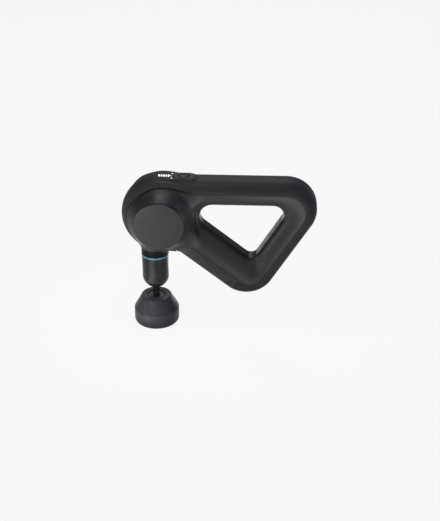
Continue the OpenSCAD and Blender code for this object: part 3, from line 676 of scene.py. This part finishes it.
class Nodes:
    """Shorthand for wiring one material."""

    def __init__(self, name):
        self.material = bpy.data.materials.new(name)
        self.material.use_nodes = True
        self.tree = self.material.node_tree
        self.surface = self.tree.nodes["Principled BSDF"]
        self.place = self.tree.nodes.new("ShaderNodeTexCoord").outputs["Object"]

    def node(self, kind, output, **inputs):
        """Output of a new node, whose inputs are given as values or as other outputs."""
        node = self.tree.nodes.new("ShaderNode" + kind)
        for name, value in inputs.items():
            self.put(node.inputs[name.replace("_", " ").title()], value)
        return node.outputs[output]

    def put(self, socket, value):
        if isinstance(value, bpy.types.NodeSocket):
            self.tree.links.new(value, socket)
        else:
            socket.default_value = value

    def shade(self, **inputs):
        """Inputs of the surface shader."""
        for name, value in inputs.items():
            self.put(self.surface.inputs[name.replace("_", " ").title().replace("Ior", "IOR")], value)

    def noise(self, size, detail=2.0):
        """Noise whose features are about this size in metres."""
        return self.node("TexNoise", "Fac", scale=1 / size, detail=detail, vector=self.place)

    def cells(self, size):
        return self.node("TexVoronoi", "Distance", scale=1 / size, vector=self.place)

    def rings(self, size, direction):
        """Bands about this far apart in metres."""
        band = 0.31
        wave = self.node("TexWave", "Fac", scale=band / size, distortion=0.4, vector=self.place)
        wave.node.bands_direction = direction
        return wave

    def tint(self, source, colour, spread):
        """Colour that varies by its spread."""
        ramp = self.node("ValToRGB", "Color", fac=source)
        stops = ramp.node.color_ramp.elements
        for stop, place, factor in zip(stops, MIDDLE, (1 - spread, 1 + spread)):
            stop.position = place
            stop.color = (*[min(1, c * factor) for c in colour], 1)
        self.shade(base_color=ramp)

    def bump(self, source, depth, strength=1.0, **under):
        """Relief of this depth in metres, on top of the one under it."""
        normal = self.node("Bump", "Normal", strength=strength, distance=depth, height=source, **under)
        self.shade(normal=normal)
        return normal

    def rough(self, source, low, high):
        start, end = MIDDLE
        ends = {"from_min": start, "from_max": end, "to_min": low, "to_max": high}
        self.shade(roughness=self.node("MapRange", "Result", value=source, **ends))


def moulded(name, colour, rough, grain, depth, specular=0.3, spread=0.06):
    """Moulded plastic or rubber with a fine grain."""
    n = Nodes(name)
    n.tint(n.noise(0.018, 3), colour, spread)
    n.rough(n.noise(0.006, 3), rough - 0.05, rough + 0.05)
    n.bump(n.noise(grain, 2), depth)
    n.shade(specular_ior_level=specular)
    return n.material


def soft_grip(name, colour):
    n = Nodes(name)
    n.tint(n.noise(0.022, 3), colour, 0.06)
    n.rough(n.noise(0.004, 3), 0.52, 0.64)
    under = n.bump(n.noise(0.0030, 2), 0.00002)
    n.bump(n.noise(0.00045, 2), 0.000035, normal=under)
    n.shade(specular_ior_level=0.1)
    return n.material


def foam_skin(colour):
    n = Nodes("foam_skin")
    n.tint(n.noise(0.009, 4), colour, 0.10)
    n.rough(n.noise(0.003, 3), 0.32, 0.42)
    under = n.bump(n.noise(0.005, 2), 0.00006)
    n.bump(n.cells(0.0007), 0.00005, 0.8, normal=under)
    n.shade(specular_ior_level=0.12)
    return n.material


def turned_metal(name, colour, rough, along="Z"):
    n = Nodes(name)
    n.tint(n.noise(0.004, 2), colour, 0.07)
    n.rough(n.noise(0.002, 3), rough - 0.05, rough + 0.06)
    n.bump(n.rings(0.00035, along), 0.000012)
    n.shade(metallic=1.0)
    return n.material


def cast_metal(name, colour, rough):
    n = Nodes(name)
    n.tint(n.noise(0.006, 4), colour, 0.10)
    n.rough(n.noise(0.002, 3), rough - 0.08, rough + 0.08)
    n.bump(n.noise(0.0006, 3), 0.00006)
    n.shade(metallic=1.0)
    return n.material


def layered_metal(name, colour, layer):
    """Stacked sheets, or wire wound in layers."""
    n = Nodes(name)
    n.tint(n.rings(layer, "Y"), colour, 0.25)
    n.rough(n.noise(0.002, 2), 0.30, 0.45)
    n.bump(n.rings(layer, "Y"), 0.00012)
    n.shade(metallic=0.9)
    return n.material


def circuit_board(name, colour):
    n = Nodes(name)
    n.tint(n.cells(0.0035), colour, 0.35)
    n.rough(n.noise(0.003, 2), 0.25, 0.40)
    n.bump(n.cells(0.0018), 0.00008)
    return n.material


def light_guide(name):
    n = Nodes(name)
    n.tint(n.noise(0.0015, 2), (0.86, 0.88, 0.90), 0.05)
    n.rough(n.noise(0.001, 2), 0.30, 0.40)
    n.shade(emission_color=(1, 1, 1, 1), emission_strength=0.9)
    return n.material


def dress(piece, body, slot, material, *nodes):
    """The finished piece rides on its body and stands for its nodes."""
    piece.data.materials.clear()
    piece.data.materials.append(material)
    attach(piece, body)
    if nodes:
        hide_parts(*nodes)
    return piece


# Operators


class Housing(bpy.types.Operator):
    """Case halves, nose collar, grip band, foot of the ribbed strip, and a lining behind the seams"""

    bl_idname = "massage_gun.housing"
    bl_label = "Housing"

    def execute(self, context):
        gun = context.scene.massage_gun
        shell, finishes = gun.shell, gun.finishes
        form = BodyForm(gun)
        low, high = cad_bounds
        margin = 3 * shell.cell
        start = [low[0] - margin, low[1] - margin, form.collar_foot - margin]
        start[2] = min(start[2], reach("grip_band")[0].z - margin)
        points, quads = surface_nets(form.skin, start, [h + margin for h in high], shell.cell)
        points = relaxed(form.skin, onto(form.skin, points), quads)
        half, split = shell.gap / 2, 0.00006
        collar_room, pocket_depth, strip_fade = 0.004, 0.01, 0.003
        rocker_low, rocker_high = reach("speed_rocker")
        socket_low, socket_high = reach("charge_socket")
        socket_x, socket_top = (socket_low.x + socket_high.x) / 2, socket_high.z
        screws = places_of("case_screws")

        def half_gap(p):
            """Half width of the seam, which is wider round the head and along the strip."""
            plain, wide, strip_wide = 0.050, 0.041, -0.004
            out = np.hypot(p[:, 0] - motor_x, p[:, 2] - motor_z)
            by_head = ease(plain, wide, out) * (shell.head_gap / 2 - half)
            by_strip = ease(0, strip_wide, form.strip(p)) * (shell.strip_gap / 2 - half)
            return half + np.maximum(by_head, by_strip)

        def on_case(p):
            return form.seam(p) + half_gap(p)

        def on_band(p):
            return half_gap(p) - form.seam(p)

        def in_front(p):
            return p[:, 1] + split

        def behind(p):
            return split - p[:, 1]

        def on_neck(p):
            out = np.hypot(p[:, 0], p[:, 1])
            return np.maximum(p[:, 2] - form.neck_cut, out - form.nose_r - collar_room)

        def off_neck(p):
            return shell.neck_gap - on_neck(p)

        def off_strip(p):
            return half - form.strip(p)

        def on_strip(p):
            return form.strip(p) + half

        def off_rocker(p):
            room = gun.controls.pocket_gap
            ends = (rocker_low.x - room, rocker_high.x + room)
            key = pill(p[:, 0], p[:, 1], ends, gun.controls.rocker_half + room)
            return -np.maximum(key, form.head.pod_top - pocket_depth - p[:, 2])

        def off_screws(p):
            room = shell.screw_hole / 2
            return room - np.min([np.hypot(p[:, 0] - x, p[:, 2] - z) for x, z in screws], axis=0)

        def off_socket(p):
            hole = np.hypot(p[:, 0] - socket_x, p[:, 1]) - shell.socket_hole / 2
            return -np.maximum(hole, p[:, 2] - socket_top)

        def by_seam(p):
            return np.abs(form.seam(p)) - shell.lining_half

        case = moulded("case_plastic", finishes.case, 0.48, 0.0006, 0.000012, 0.3)
        # Sleeve plastic with its colour darkened: painted shade under the head and side cap
        collar = moulded("collar_plastic", finishes.collar, 0.42, 0.0005, 0.00001, 0.06)
        grip = soft_grip("soft_grip", finishes.band)
        ribbed = soft_grip("soft_strip", finishes.strip)
        parts = (
            ("case_front", "case_shell", case, (on_case, in_front, off_neck)),
            ("case_rear", "case_shell", case, (on_case, behind, off_neck, off_screws)),
            ("nose_collar", "nose_plastic", collar, (on_case, on_neck)),
            ("grip_band", "grip_band", grip, (on_band, off_strip, off_rocker, off_socket)),
            ("grip_strip", "ribbed_strip", ribbed, (on_band, on_strip)),
        )
        for node, slot, material, cuts in parts:
            place, faces = trimmed(form.skin, points, quads, cuts, shell.cell)
            if not faces:
                raise RuntimeError("no skin is left for " + node)
            if node == "grip_strip":
                fade = ease(0, strip_fade, -form.strip(place))
                place = place - slope_of(form.skin, place) * (shell.rib_height * fade)[:, None]
            piece = new_piece(node + "_skin", place, faces)
            thicken(piece, shell.wall, shell.lip)
            dress(piece, "housing", slot, material, node)
        place, faces = trimmed(form.skin, points, quads, (by_seam,), shell.cell)
        place = place - slope_of(form.skin, place) * (shell.wall + shell.lip)
        lining = new_piece("seam_lining", place, faces)
        thicken(lining, shell.lining, shell.lip)
        dress(lining, "housing", "grip_band", grip)
        return {"FINISHED"}


def row_of_copies():
    """Node tree: copies of its own mesh in a straight row."""
    tree = bpy.data.node_groups.new("Row of copies", "GeometryNodeTree")
    given, kinds = {}, {"Geometry": "Geometry", "Count": "Int", "Step": "Vector", "Material": "Material"}
    for name, kind in kinds.items():
        socket = tree.interface.new_socket(name, in_out="INPUT", socket_type="NodeSocket" + kind)
        given[name] = socket.identifier
    tree.interface.new_socket("Geometry", in_out="OUTPUT", socket_type="NodeSocketGeometry")
    kinds = ("MeshLine", "InstanceOnPoints", "RealizeInstances", "SetMaterial")
    line, copies, solid, paint = [tree.nodes.new("GeometryNode" + kind) for kind in kinds]
    start, end = [tree.nodes.new("NodeGroup" + kind) for kind in ("Input", "Output")]
    line.mode = "OFFSET"
    links = (
        (start, "Count", line, "Count"),
        (start, "Step", line, "Offset"),
        (line, "Mesh", copies, "Points"),
        (start, "Geometry", copies, "Instance"),
        (copies, "Instances", solid, "Geometry"),
        (solid, "Geometry", paint, "Geometry"),
        (start, "Material", paint, "Material"),
        (paint, "Geometry", end, "Geometry"),
    )
    for source, output, target, socket in links:
        tree.links.new(source.outputs[output], target.inputs[socket])
    return tree, given


class StripRibs(bpy.types.Operator):
    """Cross ribs of the grip strip under the lower arm"""

    bl_idname = "massage_gun.strip_ribs"
    bl_label = "Strip ribs"

    def execute(self, context):
        gun = context.scene.massage_gun
        shell, handle = gun.shell, gun.handle
        form = BodyForm(gun)
        edge, side = handle.edge_radius, handle.half_width
        top = handle.seam_depths[2] - shell.gap
        bend = side - edge
        path = [(-side, top, -1, 0)]
        for y, first in ((-bend, 180), (bend, 270)):
            for t in np.radians(np.linspace(first, first + 90, 9)):
                path.append((y + edge * math.cos(t), edge + edge * math.sin(t), math.cos(t), math.sin(t)))
        path.append((side, top, 1, 0))
        wide, high = shell.rib_width / 2, shell.rib_height
        section = [(-1, -1.3), (-0.9, -0.45), (-0.45, 0), (0.45, 0), (0.9, -0.45), (1, -1.3)]
        section = [(along * wide, out * high) for along, out in section]
        begin, end = shell.strip_ends
        first = begin + 2 * shell.rib_pitch
        points = []
        for y, across, out_y, out_across in path:
            for along, out in section:
                s, t = first + along, across + out * out_across + form.arm_foot
                x = s * form.arm_along[0] + t * form.arm_across[0]
                z = s * form.arm_along[1] + t * form.arm_across[1]
                points.append((x, y + out * out_y, z))
        n = len(section)
        faces = [list(range(n)), list(range(len(points) - 1, len(points) - n - 1, -1))]
        for i in range(len(path) - 1):
            for k in range(n):
                a, b = i * n + k, i * n + (k + 1) % n
                faces.append([a, a + n, b + n, b])
        rib = outward(new_piece("grip_strip_ribs", np.array(points), faces))
        material = bpy.data.materials["soft_strip"]
        count = int((end - first) / shell.rib_pitch)
        tree, given = row_of_copies()
        row = rib.modifiers.new("Ribs", "NODES")
        row.node_group = tree
        row[given["Count"]] = count
        row[given["Step"]] = (form.arm_along[0] * shell.rib_pitch, 0, form.arm_along[1] * shell.rib_pitch)
        row[given["Material"]] = material
        settle(rib)
        crisp = 60
        dress(sharp_edges(rib, crisp), "housing", "ribbed_strip", material)
        return {"FINISHED"}


class SideCaps(bpy.types.Operator):
    """Round caps on both sides of the head"""

    bl_idname = "massage_gun.side_caps"
    bl_label = "Side caps"

    def execute(self, context):
        gun = context.scene.massage_gun
        material = moulded("cap_plastic", gun.finishes.cap, 0.46, 0.0005, 0.000015, 0.22)
        low, high = reach("front_cap")
        r, face = (high.x - low.x) / 2, -low.y
        seat_gap, chamfer, rise, rim = 0.0003, 0.0006, 0.0004, 0.0018
        back = gun.head.flank_half + seat_gap
        profile = [(0, back), (r - chamfer, back), (r, back + rise), (r, face), (r - rim, face)]
        profile = softened(profile, [0, 0, 0.0003, 0.0009, 0.0], 5)
        profile += [(part * r, face) for part in (0.8, 0.6, 0.4, 0.2, 0)]
        for node, axis in (("front_cap", "-Y"), ("rear_cap", "+Y")):
            piece = lathe(node + "_disc", profile, (motor_x, 0, motor_z), axis, 128)
            dress(piece, "housing", "side_cap", material, node)
        return {"FINISHED"}


class Nose(bpy.types.Operator):
    """Nose sleeve, accent ring, tip seal and plunger shaft"""

    bl_idname = "massage_gun.nose"
    bl_label = "Nose"

    def execute(self, context):
        finishes = context.scene.massage_gun.finishes
        low, high = reach("nose_sleeve")
        fit, edge = 0.0001, 0.0004
        bore = radius_of("guide_tube") + fit
        guide_foot = reach("guide_tube")[0].z - 2 * fit
        seal_r = radius_of("tip_seal") + fit
        top_r = radius_of("nose_sleeve")
        tip_r = top_r - edge
        tip_z = low.z + math.sqrt(tip_r**2 - seal_r**2)
        lowest = -math.degrees(math.acos(seal_r / tip_r))
        profile = [(bore, guide_foot), (bore, high.z), (top_r - edge, high.z), (top_r, high.z - edge)]
        profile += arc(0, tip_z, tip_r, 0, lowest, 24)
        profile += [(seal_r, guide_foot)]
        sleeve = lathe("nose_sleeve_turned", profile)
        plastic = moulded("sleeve_plastic", finishes.nose, 0.32, 0.0005, 0.000002, 0.2)
        dress(sleeve, "housing", "nose_plastic", plastic, "nose_sleeve")

        low, high = reach("accent_ring")
        r = radius_of("accent_ring")
        corners = [(bore, low.z), (r, low.z), (r, high.z), (bore, high.z)]
        ring = lathe("accent_ring_turned", softened(corners, [0, edge, edge, 0]))
        blue = moulded("accent_plastic", finishes.accent, 0.30, 0.0008, 0.00001, 0.5, 0.04)
        dress(ring, "housing", "accent_blue", blue, "accent_ring")

        low, high = reach("tip_seal")
        shaft_r, play = radius_of("plunger_shaft"), 0.00006
        lip, r = shaft_r + play, radius_of("tip_seal")
        corners = [(lip, low.z), (r, low.z), (r, high.z), (lip, high.z)]
        seal = lathe("tip_seal_turned", softened(corners, [0.0006, 0.0012, 0.0002, 0.0002]))
        rubber = moulded("tip_rubber", (0.014, 0.014, 0.014), 0.6, 0.0004, 0.00003, 0.3)
        dress(seal, "housing", "seal_rubber", rubber, "tip_seal")

        low, high = reach("plunger_shaft")
        groove, depth, wide, narrow = low.z + 0.012, 0.0003, 0.0008, 0.0004
        waist = shaft_r - depth
        corners = [(0, low.z), (shaft_r, low.z), (shaft_r, groove - wide), (waist, groove - narrow)]
        corners += [(waist, groove + narrow), (shaft_r, groove + wide), (shaft_r, high.z), (0, high.z)]
        shaft = lathe("plunger_shaft_turned", softened(corners, [0, 0.0008, 0, 0, 0, 0, 0.0003, 0]))
        steel = turned_metal("polished_steel", finishes.shaft, 0.14)
        dress(shaft, "plunger", "shaft_steel", steel, "plunger_shaft")
        return {"FINISHED"}


class MassageHead(bpy.types.Operator):
    """Foam cone and the plug in its top"""

    bl_idname = "massage_gun.massage_head"
    bl_label = "Massage head"

    def execute(self, context):
        finishes = context.scene.massage_gun.finishes
        low, high = reach("head_foam")
        r, top = radius_of("head_foam"), high.z
        core_r = radius_of("head_core")
        floor = reach("head_core")[0].z
        side_top, top_r, gap, clear = 0.0180, 0.0173, 0.0004, 0.0001
        profile = [(0, low.z), (r, low.z), (r, side_top), (top_r, top), (core_r + gap, top)]
        profile += [(core_r + gap, floor - clear), (0, floor - clear)]
        profile = softened(profile, [0, 0.0052, 0.0016, 0.0011, 0.0005, 0, 0], 7)
        foam = lathe("massage_foam", profile, segments=160)
        dress(foam, "massage_head", "massage_foam", foam_skin(finishes.foam), "head_foam")

        shaft_r, play = radius_of("plunger_shaft"), 0.00007
        rim, dish, collar = top - 0.0003, top - 0.0012, top - 0.0008
        rim_r, dish_r = core_r - 0.0013, core_r - 0.0016
        foot_r, collar_r = shaft_r + 0.0026, shaft_r + 0.0022
        bore, bore_end = shaft_r + play, floor + 0.005
        profile = [(0, floor), (core_r, floor), (core_r, rim), (rim_r, rim), (dish_r, dish)]
        profile += [(foot_r, dish), (collar_r, collar), (bore, collar), (bore, bore_end), (0, bore_end)]
        profile = softened(profile, [0, 0.0004, 0.0004, 0.0003, 0.0006, 0.0006, 0.0003, 0.0003, 0, 0])
        core = lathe("massage_plug", profile)
        plastic = moulded("plug_plastic", finishes.core, 0.45, 0.0006, 0.00002, 0.3)
        dress(core, "massage_head", "core_plastic", plastic, "head_core")
        return {"FINISHED"}


class Controls(bpy.types.Operator):
    """Power button, speed rocker with its marks, and the lights"""

    bl_idname = "massage_gun.controls"
    bl_label = "Controls"

    def execute(self, context):
        gun = context.scene.massage_gun
        sizes, finishes = gun.controls, gun.finishes
        keys = moulded("key_plastic", finishes.keys, 0.5, 0.0004, 0.00002, 0.1)

        key_depth, dish_rim = 0.0022, 0.93
        low, high = reach("power_button")
        r, top = (high.x - low.x) / 2, high.z
        centre = (low.x + r, 0, 0)
        dish = [(r * k, top - sizes.button_dish * (1 - k * k)) for k in (0.86, 0.7, 0.5, 0.3, 0.15, 0)]
        profile = [(0, top - key_depth), (r, top - key_depth), (r, top), (r * dish_rim, top)]
        profile = softened(profile, [0, 0.0002, sizes.key_edge, 0.0003])[:-1] + dish
        button = lathe("power_button_turned", profile, centre)
        dress(button, "power_key", "button_plastic", keys, "power_button")

        low, high = reach("speed_rocker")
        half = sizes.rocker_half
        mark_rise = 0.00004
        top = high.z - mark_rise
        foot = top - key_depth

        def rocker_form(p):
            x, y, z = p.T
            flat = pill(x, y, (low.x, high.x), half)
            flat = np.maximum(flat, r + sizes.button_gap - np.hypot(x - centre[0], y))
            height = np.abs(z - (top + foot) / 2) - (top - foot) / 2
            return rounded(flat, height, sizes.key_edge)

        margin, cell = 0.0012, 0.0003
        start = (low.x - margin, -half - margin, foot - margin)
        stop = (high.x + margin, half + margin, top + margin)
        points, quads = surface_nets(rocker_form, start, stop, cell)
        points = relaxed(rocker_form, onto(rocker_form, points), quads)
        rocker = new_piece("speed_rocker_moulded", points, quads.tolist())
        dress(sharp_edges(rocker), "speed_key", "button_plastic", keys, "speed_rocker")

        long, wide = sizes.mark_length / 2, sizes.mark_width / 2
        marks = []
        for side, strokes in ((-1, ((long, wide),)), (1, ((long, wide), (wide, long)))):
            for a, b in strokes:
                marks.append((centre[0] + side * sizes.mark_place, 0, a, b))
        ink = moulded("mark_ink", finishes.marks, 0.5, 0.0004, 0.00001, 0.3)

        def mark_top(x, y):
            return np.full(np.shape(x), top + mark_rise)

        mark_corner, mark_depth = wide * 0.6, 0.0004
        piece = plates("speed_marks", marks, mark_corner, mark_top, mark_depth)
        dress(piece, "speed_key", "button_plastic", ink)

        form = BodyForm(gun)

        def light_top(x, y):
            return form.top_at(np.asarray(x), np.asarray(y)) + sizes.light_rise

        white = light_guide("lit_white")
        count, bar, dot, corner, depth = 5, (0.00085, 0.0025), 0.0008, 0.0005, 0.0012
        low, high = reach("level_lights")
        bars = [(x, 0, *bar) for x in np.linspace(low.x + bar[0], high.x - bar[0], count)]
        piece = plates("level_lights_row", bars, corner, light_top, depth)
        dress(piece, "housing", "light_white", white, "level_lights")
        low, high = reach("mode_lights")
        dots = [(low.x + dot, 0, dot, dot)]
        dots += [(high.x - dot, side * (high.y - dot), dot, dot) for side in (-1, 1)]
        piece = plates("mode_lights_row", dots, dot, light_top, depth)
        dress(piece, "housing", "light_white", white, "mode_lights")
        return {"FINISHED"}


def plates(name, spots, corner, top_at, depth):
    """Small plates with rounded corners whose tops follow a surface: spots are x, y and half sizes."""
    inset, chamfer, crisp = 0.06, 0.00005, 50
    points, faces = [], []
    for x, y, half_x, half_y in spots:
        outline = []
        for turn, sx, sy in ((0, 1, 1), (90, -1, 1), (180, -1, -1), (270, 1, -1)):
            middle_x, middle_y = x + sx * (half_x - corner), y + sy * (half_y - corner)
            outline += arc(middle_x, middle_y, corner, turn, turn + 90)
        ring = np.array(outline)
        inner = np.array([x, y]) + (ring - [x, y]) * (1 - inset)
        rows = []
        for edge, drop in ((ring, depth), (ring, chamfer), (inner, 0)):
            rows.append(np.column_stack([edge, top_at(edge[:, 0], edge[:, 1]) - drop]))
        base, n = len(points), len(ring)
        points += [tuple(p) for row in rows for p in row]
        faces.append([base + k for k in range(n - 1, -1, -1)])
        faces.append([base + 2 * n + k for k in range(n)])
        for row in range(2):
            for k in range(n):
                a, b = base + row * n + k, base + row * n + (k + 1) % n
                faces.append([a, b, b + n, a + n])
    return sharp_edges(new_piece(name, np.array(points), faces), crisp)


class InnerWorks(bpy.types.Operator):
    """Finishes of the drive, the battery, the boards and the fasteners"""

    bl_idname = "massage_gun.inner_works"
    bl_label = "Inner works"

    def execute(self, context):
        makers = {
            "guide_aluminium": (turned_metal, (0.70, 0.71, 0.73), 0.30),
            "bush_bronze": (turned_metal, (0.52, 0.36, 0.17), 0.38),
            "frame_aluminium": (cast_metal, (0.55, 0.56, 0.58), 0.45),
            "screw_steel": (turned_metal, (0.16, 0.16, 0.17), 0.34),
            "axle_steel": (turned_metal, (0.66, 0.67, 0.69), 0.22, "Y"),
            "lamination_steel": (layered_metal, (0.32, 0.32, 0.34), 0.0006),
            "coil_copper": (layered_metal, (0.62, 0.27, 0.10), 0.0008),
            "magnet_nickel": (turned_metal, (0.55, 0.55, 0.57), 0.20, "Y"),
            "board_green": (circuit_board, (0.04, 0.18, 0.09)),
            "switch_black": (moulded, (0.02, 0.02, 0.02), 0.45, 0.0005, 0.00002),
            "cell_wrap": (moulded, (0.06, 0.17, 0.34), 0.32, 0.003, 0.00003, 0.5),
            "holder_plastic": (moulded, (0.62, 0.62, 0.58), 0.5, 0.0008, 0.00003),
            "socket_black": (moulded, (0.015, 0.015, 0.016), 0.4, 0.0006, 0.00002),
            "lead_red": (moulded, (0.42, 0.04, 0.03), 0.42, 0.0010, 0.00002, 0.4),
        }
        finishes = {slot: maker(slot + "_finish", *given) for slot, (maker, *given) in makers.items()}
        for row in frame["record"]["subparts"]:
            node = frame["nodes"][row["node"]]
            if node.hide_render:
                continue
            material = finishes.get(row["material_slot"])
            if material is None:
                raise RuntimeError("no finish for " + row["node"])
            for slot in node.material_slots:
                slot.material = material
        return {"FINISHED"}


def white_to_eye(tree, lit, white, share):
    """Shader that is white to the camera and in reflections, and lit otherwise."""
    path = tree.nodes.new("ShaderNodeLightPath")
    seen = path.outputs["Is Camera Ray"]
    for ray in ("Is Glossy Ray", "Is Transmission Ray"):
        either = tree.nodes.new("ShaderNodeMath")
        either.operation = "MAXIMUM"
        tree.links.new(seen, either.inputs[0])
        tree.links.new(path.outputs[ray], either.inputs[1])
        seen = either.outputs[0]
    part = tree.nodes.new("ShaderNodeMath")
    part.operation = "MULTIPLY"
    part.inputs[1].default_value = share
    tree.links.new(seen, part.inputs[0])
    mix = tree.nodes.new("ShaderNodeMixShader")
    tree.links.new(part.outputs[0], mix.inputs["Fac"])
    tree.links.new(lit, mix.inputs[1])
    tree.links.new(white, mix.inputs[2])
    return mix.outputs[0]


class Stage(bpy.types.Operator):
    """Floor, surrounding light, lamps and camera"""

    bl_idname = "massage_gun.stage"
    bl_label = "Stage"

    def execute(self, context):
        scene, sizes = context.scene, context.scene.massage_gun.stage
        scene.view_settings.view_transform = "Standard"
        half, drop = sizes.floor_half, 0.0002
        corners = [(-half, -half, -drop), (half, -half, -drop), (half, half, -drop), (-half, half, -drop)]
        floor = new_piece("floor", np.array(corners), [[0, 1, 2, 3]], False)
        n = Nodes("floor_pale")
        n.tint(n.noise(0.5), (0.62, 0.62, 0.62), 0.01)
        n.shade(roughness=0.9, specular_ior_level=0.1)
        glow = n.tree.nodes.new("ShaderNodeEmission")
        seen = white_to_eye(n.tree, n.surface.outputs["BSDF"], glow.outputs["Emission"], sizes.floor_white)
        n.put(n.tree.nodes["Material Output"].inputs["Surface"], seen)
        floor.data.materials.append(n.material)

        world = bpy.data.worlds.new("Studio")
        world.use_nodes = True
        scene.world = world
        around = world.node_tree.nodes["Background"]
        around.inputs["Color"].default_value = (0.95, 0.97, 1.0, 1)
        around.inputs["Strength"].default_value = sizes.ambient

        middle, disc, up = (0.06, 0, 0.10), (0.0085, -0.038, 0.144), None
        white, cool = (1, 1, 1), (0.72, 0.82, 1.0)
        lamps = (
            ("left", (-0.07, -0.14, 0.15), disc, (0.05, 0.05), white),
            ("left_card", (-0.05, -0.17, 0.002), up, (0.06, 0.26), white),
            ("nose_card", (-0.02, -0.13, 0.002), up, (0.08, 0.18), white),
            ("right_card", (0.185, -0.28, 0.002), up, (0.11, 0.26), white),
            ("rear_card", (0.07, 0.30, 0.002), up, (0.30, 0.40), white),
            ("top", (0.11, -0.60, 1.14), middle, (0.5, 0.5), white),
            ("over", (0.02, -0.05, 0.55), middle, (0.15, 0.15), white),
            ("back", (0.06, 0.92, 0.87), middle, (0.5, 0.5), white),
            ("side", (1.05, 0.12, 0.58), middle, (0.5, 0.5), cool),
        )
        for name, place, aim, size, colour in lamps:
            aim = aim or (place[0], place[1], 1)
            self.lamp(name, place, aim, size, getattr(sizes, name), colour)

        azimuth, elevation = sizes.camera_azimuth, sizes.camera_elevation
        back = Vector((
            math.sin(azimuth) * math.cos(elevation),
            -math.cos(azimuth) * math.cos(elevation),
            math.sin(elevation),
        ))
        right = Vector((math.cos(azimuth), math.sin(azimuth), 0))
        turn = Matrix((right, back.cross(right), back)).transposed().to_4x4()
        camera = bpy.data.objects.new("camera", bpy.data.cameras.new("camera"))
        camera.matrix_world = Matrix.Translation(sizes.camera_place) @ turn
        camera.data.lens = sizes.lens
        camera.data.sensor_width = 36
        scene.collection.objects.link(camera)
        scene.camera = camera
        return {"FINISHED"}

    def lamp(self, name, place, aim, size, power, colour):
        light = bpy.data.lights.new(name, "AREA")
        light.shape = "RECTANGLE"
        light.size, light.size_y = size
        light.energy = power
        light.color = colour
        lamp = bpy.data.objects.new(name, light)
        lamp.location = place
        lamp.rotation_euler = (Vector(aim) - Vector(place)).to_track_quat("-Z", "Y").to_euler()
        lamp.visible_camera = False
        bpy.context.scene.collection.objects.link(lamp)


class MassageGunPanel(bpy.types.Panel):
    """Sidebar with the steps of the build"""

    bl_idname = "VIEW3D_PT_massage_gun"
    bl_label = "Massage gun"
    bl_space_type = "VIEW_3D"
    bl_region_type = "UI"
    bl_category = "Massage gun"

    def draw(self, context):
        gun = context.scene.massage_gun
        for step in STEPS:
            self.layout.operator(step.bl_idname)
        for group in ("handle", "head", "shell", "controls", "finishes", "stage"):
            box = self.layout.box()
            box.label(text=group.title())
            sizes = getattr(gun, group)
            for name in sizes.__annotations__:
                box.prop(sizes, name)


STEPS = (Stage, Housing, StripRibs, SideCaps, Nose, MassageHead, Controls, InnerWorks)
CLASSES = (
    HandleSizes, HeadSizes, ShellSizes, ControlSizes, Finishes, StageSizes, MassageGun,
    *STEPS, MassageGunPanel,
)


def register():
    for cls in CLASSES:
        bpy.utils.register_class(cls)
    bpy.types.Scene.massage_gun = PointerProperty(type=MassageGun)


def unregister():
    del bpy.types.Scene.massage_gun
    for cls in reversed(CLASSES):
        bpy.utils.unregister_class(cls)


def main():
    register()
    for step in STEPS:
        group, name = step.bl_idname.split(".")
        getattr(getattr(bpy.ops, group), name)()


if __name__ == "__main__":
    main()
